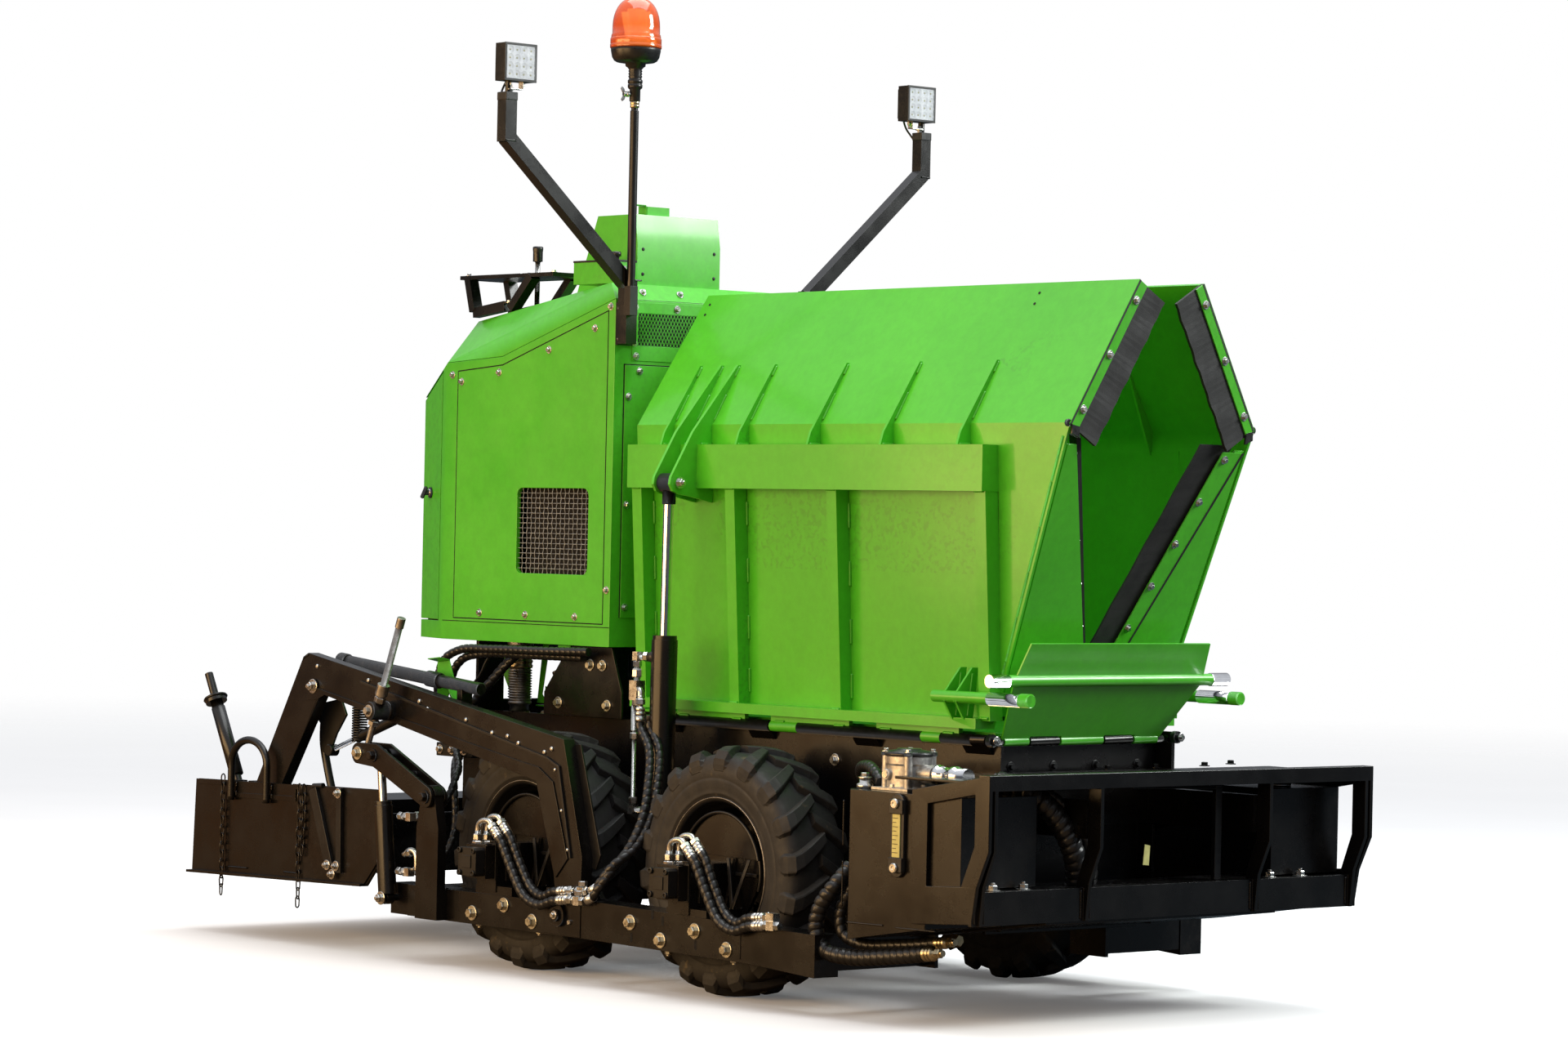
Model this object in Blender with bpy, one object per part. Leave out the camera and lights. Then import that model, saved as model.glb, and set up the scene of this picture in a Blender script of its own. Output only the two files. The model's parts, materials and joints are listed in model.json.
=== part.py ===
# Small wheeled asphalt paver, built as separate pieces in metres.
# X forward, Y to the machine's left, Z up; ground at Z = 0.
import bpy
import bmesh
import math
from mathutils import Vector

# ---------------------------------------------------------------- sizes
WHEEL_R = 0.345          # tyre radius
WHEEL_W = 0.215          # tyre section width
WHEEL_Y = 0.5285         # tyre middle plane
AXLE_F, AXLE_R = 0.622, -0.242
AXLE_Z = WHEEL_R

CH_Y = 0.330             # outside of chassis side plates
CH_T = 0.012
CH_Z0, CH_Z1 = 0.420, 0.725
CH_X0, CH_X1 = -0.930, 1.430

BEAM_Y0, BEAM_Y1 = 0.650, 0.735      # side beams, inner and outer faces
ARM_Y0, ARM_Y1 = 0.671, 0.711        # tow arms
PIVOT = (0.072, 0.189)               # tow arm pivot, x z
GAP = 0.0004                         # between pieces that meet face to face

HINGE_Y, HINGE_Z = 0.350, 0.738      # hopper wing hinge line
FOLD_Y, FOLD_Z = 0.343, 1.578
TOP_Y, TOP_Z = 0.116, 1.964
WING_X0, FOLD_X1, MOUTH_X1 = -0.100, 1.686, 1.381
WING_T = 0.008
BASE_Y, BASE_Z = 0.304, 0.784

CAB_Y = 0.368
CAB_X0, CAB_X1 = -1.000, -0.190
CAB_Z0 = 0.934
CAB_T = 0.015
REAR_X, REAR_Y = -1.200, 0.300

BUMP_X, BUMP_Y = 1.805, 0.726
TANK_X0, TANK_X1 = 1.236, 1.690

CYL_X = 0.195                        # hopper wing cylinders
CYL_LOW = (0.480, 0.420)             # lower pin, |y| z
CYL_TOP = (0.470, 1.414)             # rod eye, |y| z

LINK_Y = 0.760                       # middle plane of the screed lift linkage
LINK_P = (-0.504, 0.489)             # link pivot on the post
LINK_E = (-0.763, 0.597)             # lift rod eye
LINK_S = (-0.840, 0.600)             # spindle eye
LIFT_LOW = (-0.715, 0.180)           # lower pin of the lift cylinder
TRUN = (-0.788, 0.727)               # trunnion on the tow arm


# ---------------------------------------------------------------- tools
def clear():
    for ob in list(bpy.data.objects):
        bpy.data.objects.remove(ob, do_unlink=True)


def obj_from(bm, name="piece"):
    bmesh.ops.recalc_face_normals(bm, faces=bm.faces)
    me = bpy.data.meshes.new(name)
    bm.to_mesh(me)
    bm.free()
    ob = bpy.data.objects.new(name, me)
    bpy.context.scene.collection.objects.link(ob)
    return ob


def slab(points, off):
    """A flat polygon of 3-D points pushed along off to make a closed plate."""
    bm = bmesh.new()
    a = [bm.verts.new(p) for p in points]
    b = [bm.verts.new(Vector(p) + Vector(off)) for p in points]
    bm.faces.new(a)
    bm.faces.new(list(reversed(b)))
    n = len(a)
    for i in range(n):
        j = (i + 1) % n
        bm.faces.new((a[i], b[i], b[j], a[j]))
    return obj_from(bm)


def box(x0, x1, y0, y1, z0, z1):
    y0, y1 = min(y0, y1), max(y0, y1)
    return slab([(x0, y0, z0), (x1, y0, z0), (x1, y1, z0), (x0, y1, z0)], (0, 0, z1 - z0))


def side(outline, y0, y1):
    """Outline in x, z pushed from y0 to y1."""
    return slab([(x, y0, z) for x, z in outline], (0, y1 - y0, 0))


def face(outline, x0, x1):
    """Outline in y, z pushed from x0 to x1."""
    return slab([(x0, y, z) for y, z in outline], (x1 - x0, 0, 0))


def rod(p, q, r, n=16):
    """Solid round bar from p to q."""
    p, q = Vector(p), Vector(q)
    d = q - p
    u = d.orthogonal().normalized()
    v = d.normalized().cross(u)
    ring = [p + (u * math.cos(t) + v * math.sin(t)) * r
            for t in (2 * math.pi * (i + 0.5) / n for i in range(n))]
    return slab(ring, d)


def bar(p, q, w, h, up=(0, 0, 1)):
    """Square bar from p to q, w across, h along up."""
    p, q = Vector(p), Vector(q)
    d = (q - p).normalized()
    s = d.cross(Vector(up)).normalized()
    u = s.cross(d).normalized()
    pts = [p + s * (a * w / 2) + u * (b * h / 2) for a, b in ((-1, -1), (1, -1), (1, 1), (-1, 1))]
    return slab(pts, q - p)


def disc(x, z, r, y0, y1, n=24):
    return rod((x, y0, z), (x, y1, z), r, n)


def arc(cx, cz, r, a0, a1, n=8):
    return [(cx + r * math.cos(math.radians(a0 + (a1 - a0) * i / n)),
             cz + r * math.sin(math.radians(a0 + (a1 - a0) * i / n))) for i in range(n + 1)]


def lathe(profile, centre, n=40):
    """Profile of (radius, offset along +Y) turned about a Y axis through centre."""
    bm = bmesh.new()
    rings = []
    for r, s in profile:
        if r < 1e-6:
            rings.append([bm.verts.new((centre[0], centre[1] + s, centre[2]))])
        else:
            rings.append([bm.verts.new((centre[0] + r * math.cos(2 * math.pi * i / n),
                                        centre[1] + s,
                                        centre[2] + r * math.sin(2 * math.pi * i / n)))
                          for i in range(n)])
    for a, b in zip(rings, rings[1:]):
        for i in range(n):
            j = (i + 1) % n
            if len(a) == 1:
                bm.faces.new((a[0], b[i], b[j]))
            elif len(b) == 1:
                bm.faces.new((a[i], a[j], b[0]))
            else:
                bm.faces.new((a[i], a[j], b[j], b[i]))
    return obj_from(bm)


def hull(points):
    bm = bmesh.new()
    vs = [bm.verts.new(p) for p in points]
    res = bmesh.ops.convex_hull(bm, input=vs)
    junk = [e for e in res["geom_interior"] if isinstance(e, bmesh.types.BMVert)]
    if junk:
        bmesh.ops.delete(bm, geom=junk, context="VERTS")
    bmesh.ops.dissolve_limit(bm, angle_limit=math.radians(0.5), verts=bm.verts, edges=bm.edges)
    return obj_from(bm)


def combine(base, other, how):
    mod = base.modifiers.new("b", "BOOLEAN")
    mod.operation = how
    mod.solver = "EXACT"
    mod.object = other
    dep = bpy.context.evaluated_depsgraph_get()
    me = bpy.data.meshes.new_from_object(base.evaluated_get(dep))
    base.modifiers.clear()
    base.data = me
    bpy.data.objects.remove(other, do_unlink=True)


def make(name, parts, cuts=()):
    base = parts[0]
    for p in parts[1:]:
        combine(base, p, "UNION")
    for c in cuts:
        combine(base, c, "DIFFERENCE")
    bm = bmesh.new()
    bm.from_mesh(base.data)
    bmesh.ops.remove_doubles(bm, verts=bm.verts, dist=2e-6)
    bmesh.ops.dissolve_limit(bm, angle_limit=math.radians(0.1), verts=bm.verts, edges=bm.edges)
    bmesh.ops.triangulate(bm, faces=bm.faces)
    bmesh.ops.recalc_face_normals(bm, faces=bm.faces)
    bm.to_mesh(base.data)
    bm.free()
    base.name = name
    base.data.name = name
    return base


def S(s, y):
    """y on the right (s=-1) or left (s=+1) side."""
    return s * y


SIDES = ((-1, "right"), (1, "left"))


# ---------------------------------------------------------------- chassis
def chassis():
    parts, cuts = [], []
    for s, _ in SIDES:
        yo, yi = S(s, CH_Y), S(s, CH_Y - CH_T)
        # side plate with three hangers that carry the side beams
        outline = [(CH_X0, CH_Z1), (CH_X1, CH_Z1), (CH_X1, 0.50), (1.19, CH_Z0),
                   (1.19, 0.115), (1.05, 0.115), (1.05, CH_Z0),
                   (0.270, CH_Z0), (0.270, 0.130), (0.110, 0.130), (0.110, CH_Z0),
                   (-0.590, CH_Z0), (-0.590, 0.135), (-0.720, 0.135), (-0.720, CH_Z0),
                   (CH_X0, CH_Z0)]
        parts.append(side(outline, yi, yo))
        # lugs for the hopper wing cylinder
        for x in (CYL_X - 0.053, CYL_X + 0.043):
            parts.append(face([(S(s, CH_Y - 0.006), 0.360), (S(s, 0.500), 0.385), (S(s, 0.512), 0.440),
                               (S(s, 0.490), 0.455), (S(s, CH_Y - 0.006), 0.500)], x, x + 0.010))
        # wing hinge knuckles standing on the side plate
        for x0, x1 in ((0.010, 0.110), (0.420, 0.520), (0.860, 0.960), (1.300, 1.400)):
            parts.append(face([(S(s, CH_Y - CH_T + 0.001), 0.700), (S(s, CH_Y - CH_T + 0.001), 0.727),
                               (S(s, HINGE_Y - 0.008), HINGE_Z + 0.005),
                               (S(s, HINGE_Y + 0.004), HINGE_Z - 0.010), (S(s, CH_Y + 0.004), 0.700)], x0, x1))
            parts.append(rod((x0, S(s, HINGE_Y), HINGE_Z), (x1, S(s, HINGE_Y), HINGE_Z), 0.0155, 12))
    y = CH_Y - CH_T + 0.002
    for x0, x1, z0, z1 in ((CH_X0, CH_X0 + 0.012, CH_Z0, CH_Z1), (-0.206, -0.194, CH_Z0, CH_Z1),
                           (0.640, 0.652, CH_Z0, CH_Z1), (1.350, 1.362, 0.500, CH_Z1)):
        parts.append(box(x0, x1, -y, y, z0, z1))
    # nose of the chassis carrying the bumper
    for s in (-1, 1):
        parts.append(box(1.345, 1.7575, S(s, 0.300), S(s, 0.330), 0.500, 0.600))
    make("chassis", parts, cuts)
    # windowed stands between the side plates and the cabinet
    for name, x in (("front", -0.290), ("rear", -0.890)):
        make("%s_cabinet_stand" % name, [box(x, x + 0.012, -y, y, CH_Z1 + GAP, CAB_Z0 - GAP)],
             [box(x - 0.02, x + 0.03, -0.22, 0.22, CH_Z1 + 0.030, CAB_Z0 - 0.024)])
    # outriggers from the hangers to the side beams
    for s, side_name in SIDES:
        for name, x0, x1, z0, z1 in (("front", 1.085, 1.155, 0.120, 0.205), ("middle", 0.160, 0.230, 0.140, 0.210),
                                     ("rear", -0.700, -0.630, 0.140, 0.215)):
            make("%s_%s_outrigger" % (side_name, name),
                 [box(x0, x1, S(s, CH_Y + GAP), S(s, BEAM_Y0 - GAP), z0, z1)])


def bumper():
    parts, cuts = [], []
    parts.append(box(BUMP_X - 0.040, BUMP_X, -BUMP_Y, BUMP_Y, 0.633, 0.673))
    parts.append(box(1.735, 1.747, -BUMP_Y, BUMP_Y, 0.285, 0.372))
    parts.append(box(1.560, 1.740, -BUMP_Y, BUMP_Y, 0.360, 0.370))
    for y in (-0.700, -0.320, 0.320, 0.700):
        knee = [(BUMP_X, 0.655), (BUMP_X, 0.479), (1.765, 0.385), (1.755, 0.285),
                (1.715, 0.285), (1.720, 0.385), (1.758, 0.485), (1.758, 0.655)]
        parts.append(side(knee, y - 0.006, y + 0.006))
    for s in (-1, 1):
        plate = [(1.515, 0.624), (BUMP_X, 0.673), (BUMP_X, 0.479), (1.762, 0.385),
                 (1.745, 0.290), (1.521, 0.276)]
        parts.append(side(plate, S(s, BUMP_Y - 0.012), S(s, BUMP_Y)))
        hole = [(1.575, 0.590), (1.752, 0.622), (1.752, 0.490), (1.705, 0.385), (1.575, 0.378)]
        cuts.append(side(hole, S(s, BUMP_Y - 0.011), S(s, BUMP_Y + 0.01)))
        cuts.append(side(hole, S(s, BUMP_Y - 0.013), S(s, BUMP_Y - 0.010)))
    make("front_bumper", parts, cuts)
    make("front_deck", [box(1.4305, 1.7570, -0.710, 0.710, 0.646, 0.654)])
    make("belly_plate", [slab([(1.7200, -0.435, 0.276), (1.7200, 0.435, 0.276),
                               (1.2000, 0.435, 0.205), (1.2000, -0.435, 0.205)], (0, 0, 0.008)),
                         box(1.330, 1.342, -0.290, 0.290, 0.215, 0.4995),
                         box(1.342, 1.40, -0.290, -0.280, 0.227, 0.4995),
                         box(1.342, 1.40, 0.280, 0.290, 0.227, 0.4995)])


def tanks():
    for s, name in SIDES:
        c = 0.026
        yo, yi = BUMP_Y - 0.0125, 0.445
        top, low = 0.610, 0.212
        body = slab([(TANK_X0 + c, S(s, yo), low), (TANK_X1, S(s, yo), low), (TANK_X1, S(s, yi), low),
                     (TANK_X0, S(s, yi), low), (TANK_X0, S(s, yo - c), low)], (0, 0, top - low))
        cut = side([(TANK_X0 - 0.01, low - 0.001), (TANK_X1 + 0.01, 0.285), (TANK_X1 + 0.01, low - 0.05),
                    (TANK_X0 - 0.01, low - 0.05)], S(s, 0.40), S(s, 0.80))
        cut2 = box(TANK_X1 - 0.13, TANK_X1 + 0.01, S(s, 0.40), S(s, 0.80), 0.20, 0.3755)
        make("%s_tank" % name, [body], [cut, cut2])
    make("return_filter", [rod((1.365, -0.600, 0.6104), (1.365, -0.600, 0.690), 0.052, 20),
                           rod((1.365, -0.600, 0.685), (1.365, -0.600, 0.722), 0.060, 20)])


def side_beams():
    for s, name in SIDES:
        yi, yo = S(s, BEAM_Y0), S(s, BEAM_Y1)
        prof = [(-0.745, 0.223), (-0.010, 0.223), (0.010, 0.262), (0.150, 0.264), (0.170, 0.238),
                (1.158, 0.218), (1.158, 0.104), (0.900, 0.120), (0.170, 0.130), (-0.745, 0.132)]
        parts = [side(prof, yi, yo)]
        cuts = [box(-0.060, 0.205, S(s, ARM_Y0 - 0.005), S(s, ARM_Y1 + 0.005), 0.05, 0.40),
                box(-0.800, -0.650, S(s, 0.726), S(s, 0.800), 0.05, 0.40)]
        for xw in (AXLE_F, AXLE_R):
            # carrier plate inside the rim, shelf, gussets and the wheel motor
            pr = arc(xw, AXLE_Z, 0.145, -20, 200, 14) + [(xw - 0.085, 0.218), (xw + 0.085, 0.218)]
            parts.append(side(pr, S(s, 0.588), S(s, 0.600)))
            parts.append(box(xw - 0.085, xw + 0.085, S(s, 0.589), S(s, BEAM_Y1 - 0.004), 0.216, 0.248))
            for x in (xw + 0.045, xw - 0.080):
                parts.append(face([(S(s, 0.595), 0.240), (S(s, 0.595), 0.420), (S(s, 0.640), 0.240)], x, x + 0.010))
            parts.append(disc(xw, AXLE_Z, 0.040, S(s, 0.595), S(s, 0.526), 20))
            mx, mz = xw - 0.030, 0.318
            parts.append(box(mx - 0.052, mx + 0.052, S(s, 0.596), S(s, 0.655), mz - 0.052, mz + 0.052))
            parts.append(disc(mx, mz, 0.050, S(s, 0.650), S(s, 0.735), 20))
            parts.append(box(mx - 0.046, mx + 0.046, S(s, 0.735), S(s, 0.775), mz - 0.048, mz + 0.048))
            parts.append(disc(mx, mz, 0.038, S(s, 0.770), S(s, 0.805), 20))
            parts.append(box(mx - 0.044, mx + 0.044, S(s, 0.660), S(s, 0.735), 0.230, mz))
        # post of the lift linkage and the lower pin of the lift cylinder
        parts.append(side([(-0.560, 0.133), (-0.455, 0.133), (-0.455, 0.40), (-0.478, 0.500)]
                          + arc(LINK_P[0], LINK_P[1], 0.034, 10, 170, 6)
                          + [(-0.560, 0.40)], S(s, LINK_Y - 0.015), S(s, LINK_Y + 0.015)))
        parts.append(box(-0.560, -0.455, S(s, BEAM_Y1 - 0.01), S(s, LINK_Y - 0.010), 0.133, 0.222))
        parts.append(disc(LINK_P[0], LINK_P[1], 0.011, S(s, LINK_Y - 0.0315), S(s, LINK_Y + 0.0315), 16))
        parts.append(disc(LIFT_LOW[0], LIFT_LOW[1], 0.010, S(s, BEAM_Y1 - 0.01), S(s, LINK_Y + 0.024), 16))
        parts.append(disc(PIVOT[0], PIVOT[1], 0.018, S(s, BEAM_Y0 + 0.001), S(s, BEAM_Y1 + 0.010), 20))
        base = make("%s_side_beam" % name, parts[:1], cuts)
        for p in parts[1:]:
            combine(base, p, "UNION")
        make("%s_side_beam" % name, [base])


def wheels():
    w = WHEEL_W / 2
    prof = [(0, -0.085), (0.070, -0.085), (0.070, -0.045), (0.168, -0.045), (0.168, -0.0975),
            (0.2065, -0.0975), (0.232, -w), (0.295, -w), (0.330, -0.088), (0.3425, -0.072),
            (WHEEL_R, -0.030), (WHEEL_R, 0.030), (0.3425, 0.072), (0.330, 0.088), (0.295, w),
            (0.232, w), (0.2065, 0.0975), (0.172, 0.0975), (0.172, -0.033), (0.075, -0.033),
            (0.075, -0.010), (0, -0.010)]
    for s, name in SIDES:
        for end, x in (("front", AXLE_F), ("rear", AXLE_R)):
            ob = lathe([(r, S(s, t)) for r, t in prof], (x, S(s, WHEEL_Y), AXLE_Z), 40)
            make("%s_%s_wheel" % (end, name), [ob])


# ---------------------------------------------------------------- hopper
def hopper_floor():
    make("hopper_floor", [box(-0.125, 1.370, -0.294, 0.294, 0.745, 0.757),
                          box(-0.125, -0.113, -0.294, 0.294, 0.750, 1.560)]
         + [box(x, x + 0.012, -0.294, 0.294, 0.7254, 0.750) for x in (-0.10, 0.64, 1.34)])


def lower_y(z):
    return BASE_Y + (FOLD_Y - BASE_Y) * (z - BASE_Z) / (FOLD_Z - BASE_Z)


def front_x(z):
    return MOUTH_X1 + (FOLD_X1 - MOUTH_X1) * (z - BASE_Z) / (FOLD_Z - BASE_Z)


def wings():
    ny, nz = TOP_Z - FOLD_Z, FOLD_Y - TOP_Y
    ln = math.hypot(ny, nz)
    for s, name in SIDES:
        parts, cuts = [], []
        parts.append(slab([(WING_X0, S(s, BASE_Y), BASE_Z - 0.012), (MOUTH_X1 - 0.004, S(s, BASE_Y), BASE_Z - 0.012),
                           (FOLD_X1, S(s, FOLD_Y), FOLD_Z + 0.0045), (WING_X0, S(s, FOLD_Y), FOLD_Z + 0.0045)],
                          (0, S(s, WING_T), 0)))
        parts.append(slab([(WING_X0, S(s, FOLD_Y), FOLD_Z), (FOLD_X1, S(s, FOLD_Y), FOLD_Z),
                           (1.706, S(s, TOP_Y), TOP_Z), (-0.063, S(s, TOP_Y), TOP_Z)],
                          (0, S(s, WING_T * ny / ln), WING_T * nz / ln)))
        # frame: top beam, posts, bottom rail
        parts.append(box(-0.075, 1.414, S(s, 0.338), S(s, 0.405), 1.400, 1.524))
        for x0, x1 in ((-0.070, -0.028), (0.345, 0.385), (0.777, 0.817), (1.370, 1.412)):
            parts.append(slab([(x0, S(s, 0.309), 0.790), (x1, S(s, 0.309), 0.790),
                               (x1, S(s, 0.345), 1.41), (x0, S(s, 0.345), 1.41)], (0, S(s, 0.046), 0)))
        # the bottom rail stays off the fixed hinge knuckles
        parts.append(box(-0.075, 1.380, S(s, 0.308), S(s, 0.378), 0.768, 0.796))
        for x0, x1 in ((0.116, 0.414), (0.526, 0.854), (0.966, 1.294)):
            parts.append(rod((x0, S(s, HINGE_Y), HINGE_Z), (x1, S(s, HINGE_Y), HINGE_Z), 0.0155, 12))
            parts.append(box(x0, x1, S(s, HINGE_Y - 0.007), S(s, HINGE_Y + 0.007), HINGE_Z, 0.775))
        # gussets over the beam
        for x in (0.060, 0.390, 0.695, 0.995, 1.300):
            parts.append(face([(S(s, 0.338), 1.51), (S(s, 0.400), 1.515), (S(s, 0.385), 1.56),
                               (S(s, 0.258), 1.755), (S(s, 0.238), 1.755)], x, x + 0.008))
        # twin plates carrying the rod eye
        for x in (CYL_X - 0.042, CYL_X + 0.032):
            parts.append(face([(S(s, 0.345), 1.36), (S(s, 0.420), 1.375)]
                              + [(S(s, CYL_TOP[0] + 0.032 * math.cos(math.radians(t))),
                                  CYL_TOP[1] + 0.032 * math.sin(math.radians(t))) for t in (-90, -50, -10, 30)]
                              + [(S(s, 0.420), 1.560), (S(s, 0.258), 1.755), (S(s, 0.238), 1.755),
                                 (S(s, 0.330), 1.51)], x, x + 0.010))
            parts.append(rod((x - 0.006 if x < CYL_X else x + 0.009, S(s, CYL_TOP[0]), CYL_TOP[1]),
                             (x + 0.001 if x < CYL_X else x + 0.016, S(s, CYL_TOP[0]), CYL_TOP[1]), 0.014, 14))
        # pin under the apron bar
        parts.append(rod((1.240, S(s, 0.398), 0.852), (1.610, S(s, 0.398), 0.852), 0.0165, 16))
        for x in (1.285, 1.330):
            parts.append(face([(S(s, 0.348), 0.780), (S(s, 0.372), 0.780), (S(s, 0.410), 0.840),
                               (S(s, 0.410), 0.862), (S(s, 0.352), 0.930), (S(s, 0.330), 0.930)], x, x + 0.007))
        make("%s_wing" % name, parts)
        # corner flap: three-sided plate closing the mouth beside the apron
        g = 0.0065
        z0 = 0.800
        inner = lambda z: 0.343 - 0.017 - (0.343 - 0.070) * (FOLD_Z - z) / (FOLD_Z - 1.0015)
        top = 1.525
        pts = [(front_x(z0), S(s, lower_y(z0) - g), z0), (front_x(top), S(s, lower_y(top) - g), top),
               (front_x(top), S(s, inner(top)), top), (front_x(0.93), S(s, 0.030), 0.93),
               (front_x(z0), S(s, 0.030), z0)]
        d = Vector((1, 0, -(FOLD_X1 - MOUTH_X1) / (FOLD_Z - BASE_Z))).normalized() * 0.006
        flap = slab([Vector(p) - d * 1.5 for p in pts], d)
        make("%s_corner_flap" % name, [flap])


def apron():
    hx, hz = 1.392, 0.734
    parts = []
    low = [(hx, -0.296, hz + 0.004), (hx, 0.296, hz + 0.004), (1.497, 0.357, 0.895), (1.497, -0.357, 0.895)]
    off = Vector((0.161, 0, -0.114)).normalized() * 0.006
    parts.append(slab(low, off))
    lip = [(1.497, -0.357, 0.895), (1.497, 0.357, 0.895), (1.544, 0.339, 1.002), (1.544, -0.339, 1.002)]
    off = Vector((0.107, 0, -0.047)).normalized() * 0.006
    parts.append(slab(lip, off))
    parts.append(rod((1.505, -0.450, 0.9005), (1.505, 0.450, 0.9005), 0.0165, 16))
    for y0, y1 in ((-0.290, -0.200), (-0.080, 0.080), (0.200, 0.290)):
        parts.append(rod((hx, y0, hz), (hx, y1, hz), 0.013, 12))
    cuts = [rod((hx, y0, hz), (hx, y1, hz), 0.0195, 16) for y0, y1 in ((-0.199, -0.081), (0.081, 0.199))]
    make("front_apron", parts, cuts)
    fixed = [rod((hx, y0, hz), (hx, y1, hz), 0.013, 12) for y0, y1 in ((-0.194, -0.086), (0.086, 0.194))]
    fixed += [box(1.3695, hx, y0, y1, 0.722, 0.744) for y0, y1 in ((-0.194, -0.086), (0.086, 0.194))]
    fixed.insert(0, box(1.3625, 1.3745, -0.300, 0.300, 0.610, 0.742))
    make("front_plate", fixed)


def cylinder_pair(name, low, top, barrel_r, rod_r, barrel_len, axis, eye_r, low_w, eye_w, start):
    """Barrel with a lower eye and rod with an upper eye, pins along axis."""
    low, top, axis = Vector(low), Vector(top), Vector(axis)
    d = (top - low).normalized()
    eye_low = rod(low - axis * low_w / 2, low + axis * low_w / 2, eye_r, 20)
    body = rod(low + d * eye_r * 0.6, low + d * barrel_len, barrel_r, 24)
    gland = rod(low + d * (barrel_len - 0.030), low + d * (barrel_len + 0.012), barrel_r * 0.93, 24)
    bore = rod(low + d * (eye_r + 0.030), low + d * (barrel_len + 0.05), rod_r + 0.0008, 20)
    hole = rod(low - axis * low_w, low + axis * low_w, 0.0105, 16)
    make(name + "_barrel", [eye_low, body, gland], [bore, hole])
    eye = rod(top - axis * eye_w / 2, top + axis * eye_w / 2, eye_r, 20)
    shaft = rod(top - d * eye_r * 0.5, low + d * start, rod_r, 20)
    make(name + "_rod", [eye, shaft])


def cylinders():
    for s, name in SIDES:
        cylinder_pair("%s_wing_cylinder" % name, (CYL_X, S(s, CYL_LOW[0]), CYL_LOW[1]),
                      (CYL_X, S(s, CYL_TOP[0]), CYL_TOP[1]), 0.0375, 0.015, 0.548, (1, 0, 0), 0.026, 0.074, 0.054, 0.250)
        cylinder_pair("%s_lift_cylinder" % name, (LIFT_LOW[0], S(s, LINK_Y), LIFT_LOW[1]),
                      (LINK_E[0], S(s, LINK_Y), LINK_E[1]), 0.0275, 0.0125, 0.272, (0, 1, 0), 0.019, 0.026, 0.026, 0.125)


# ---------------------------------------------------------------- cabinet
def cab_points(d):
    """Corners of the cabinet below its roof, moved inward by d."""
    pts = []
    for s in (-1, 1):
        y, yr = S(s, CAB_Y - d), S(s, REAR_Y - d * 0.8)
        pts += [(CAB_X1 - d, y, CAB_Z0 + d), (CAB_X0 + d * 0.6, y, CAB_Z0 + d), (REAR_X + d, yr, CAB_Z0 + d)]
    return pts


def cab_outline(d):
    return [(CAB_X1 - d, -CAB_Y + d), (CAB_X1 - d, CAB_Y - d), (CAB_X0 + 0.35 * d, CAB_Y - d),
            (REAR_X + d, REAR_Y - 0.75 * d), (REAR_X + d, -REAR_Y + 0.75 * d), (CAB_X0 + 0.35 * d, -CAB_Y + d)]


def roof_points(d):
    """Roof edges, the lower rim at the cabinet wall and the crown, moved inward by d."""
    pts = []
    for s in (-1, 1):
        pts += [(CAB_X1 - d, S(s, CAB_Y - d), 1.951 - 0.3 * d), (-0.727, S(s, CAB_Y - d), 1.790 - 0.5 * d),
                (CAB_X0 + 0.35 * d, S(s, CAB_Y - d), 1.775 - 0.5 * d), (REAR_X + d, S(s, REAR_Y - 0.75 * d), 1.672 - 0.5 * d),
                (-0.224 - 0.5 * d, S(s, 0.359 - d), 1.9985 - d), (-0.985 + 0.3 * d, S(s, 0.264 - 0.5 * d), 1.905 - d)]
    return pts


PANEL = [(-0.945, 1.000), (-0.222, 1.000), (-0.222, 1.916), (-0.725, 1.764), (-0.945, 1.748)]


def grown(outline, g):
    cx = sum(p[0] for p in outline) / len(outline)
    cz = sum(p[1] for p in outline) / len(outline)
    return [(x + (g if x > cx else -g), z + (g if z > cz else -g)) for x, z in outline]


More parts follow.
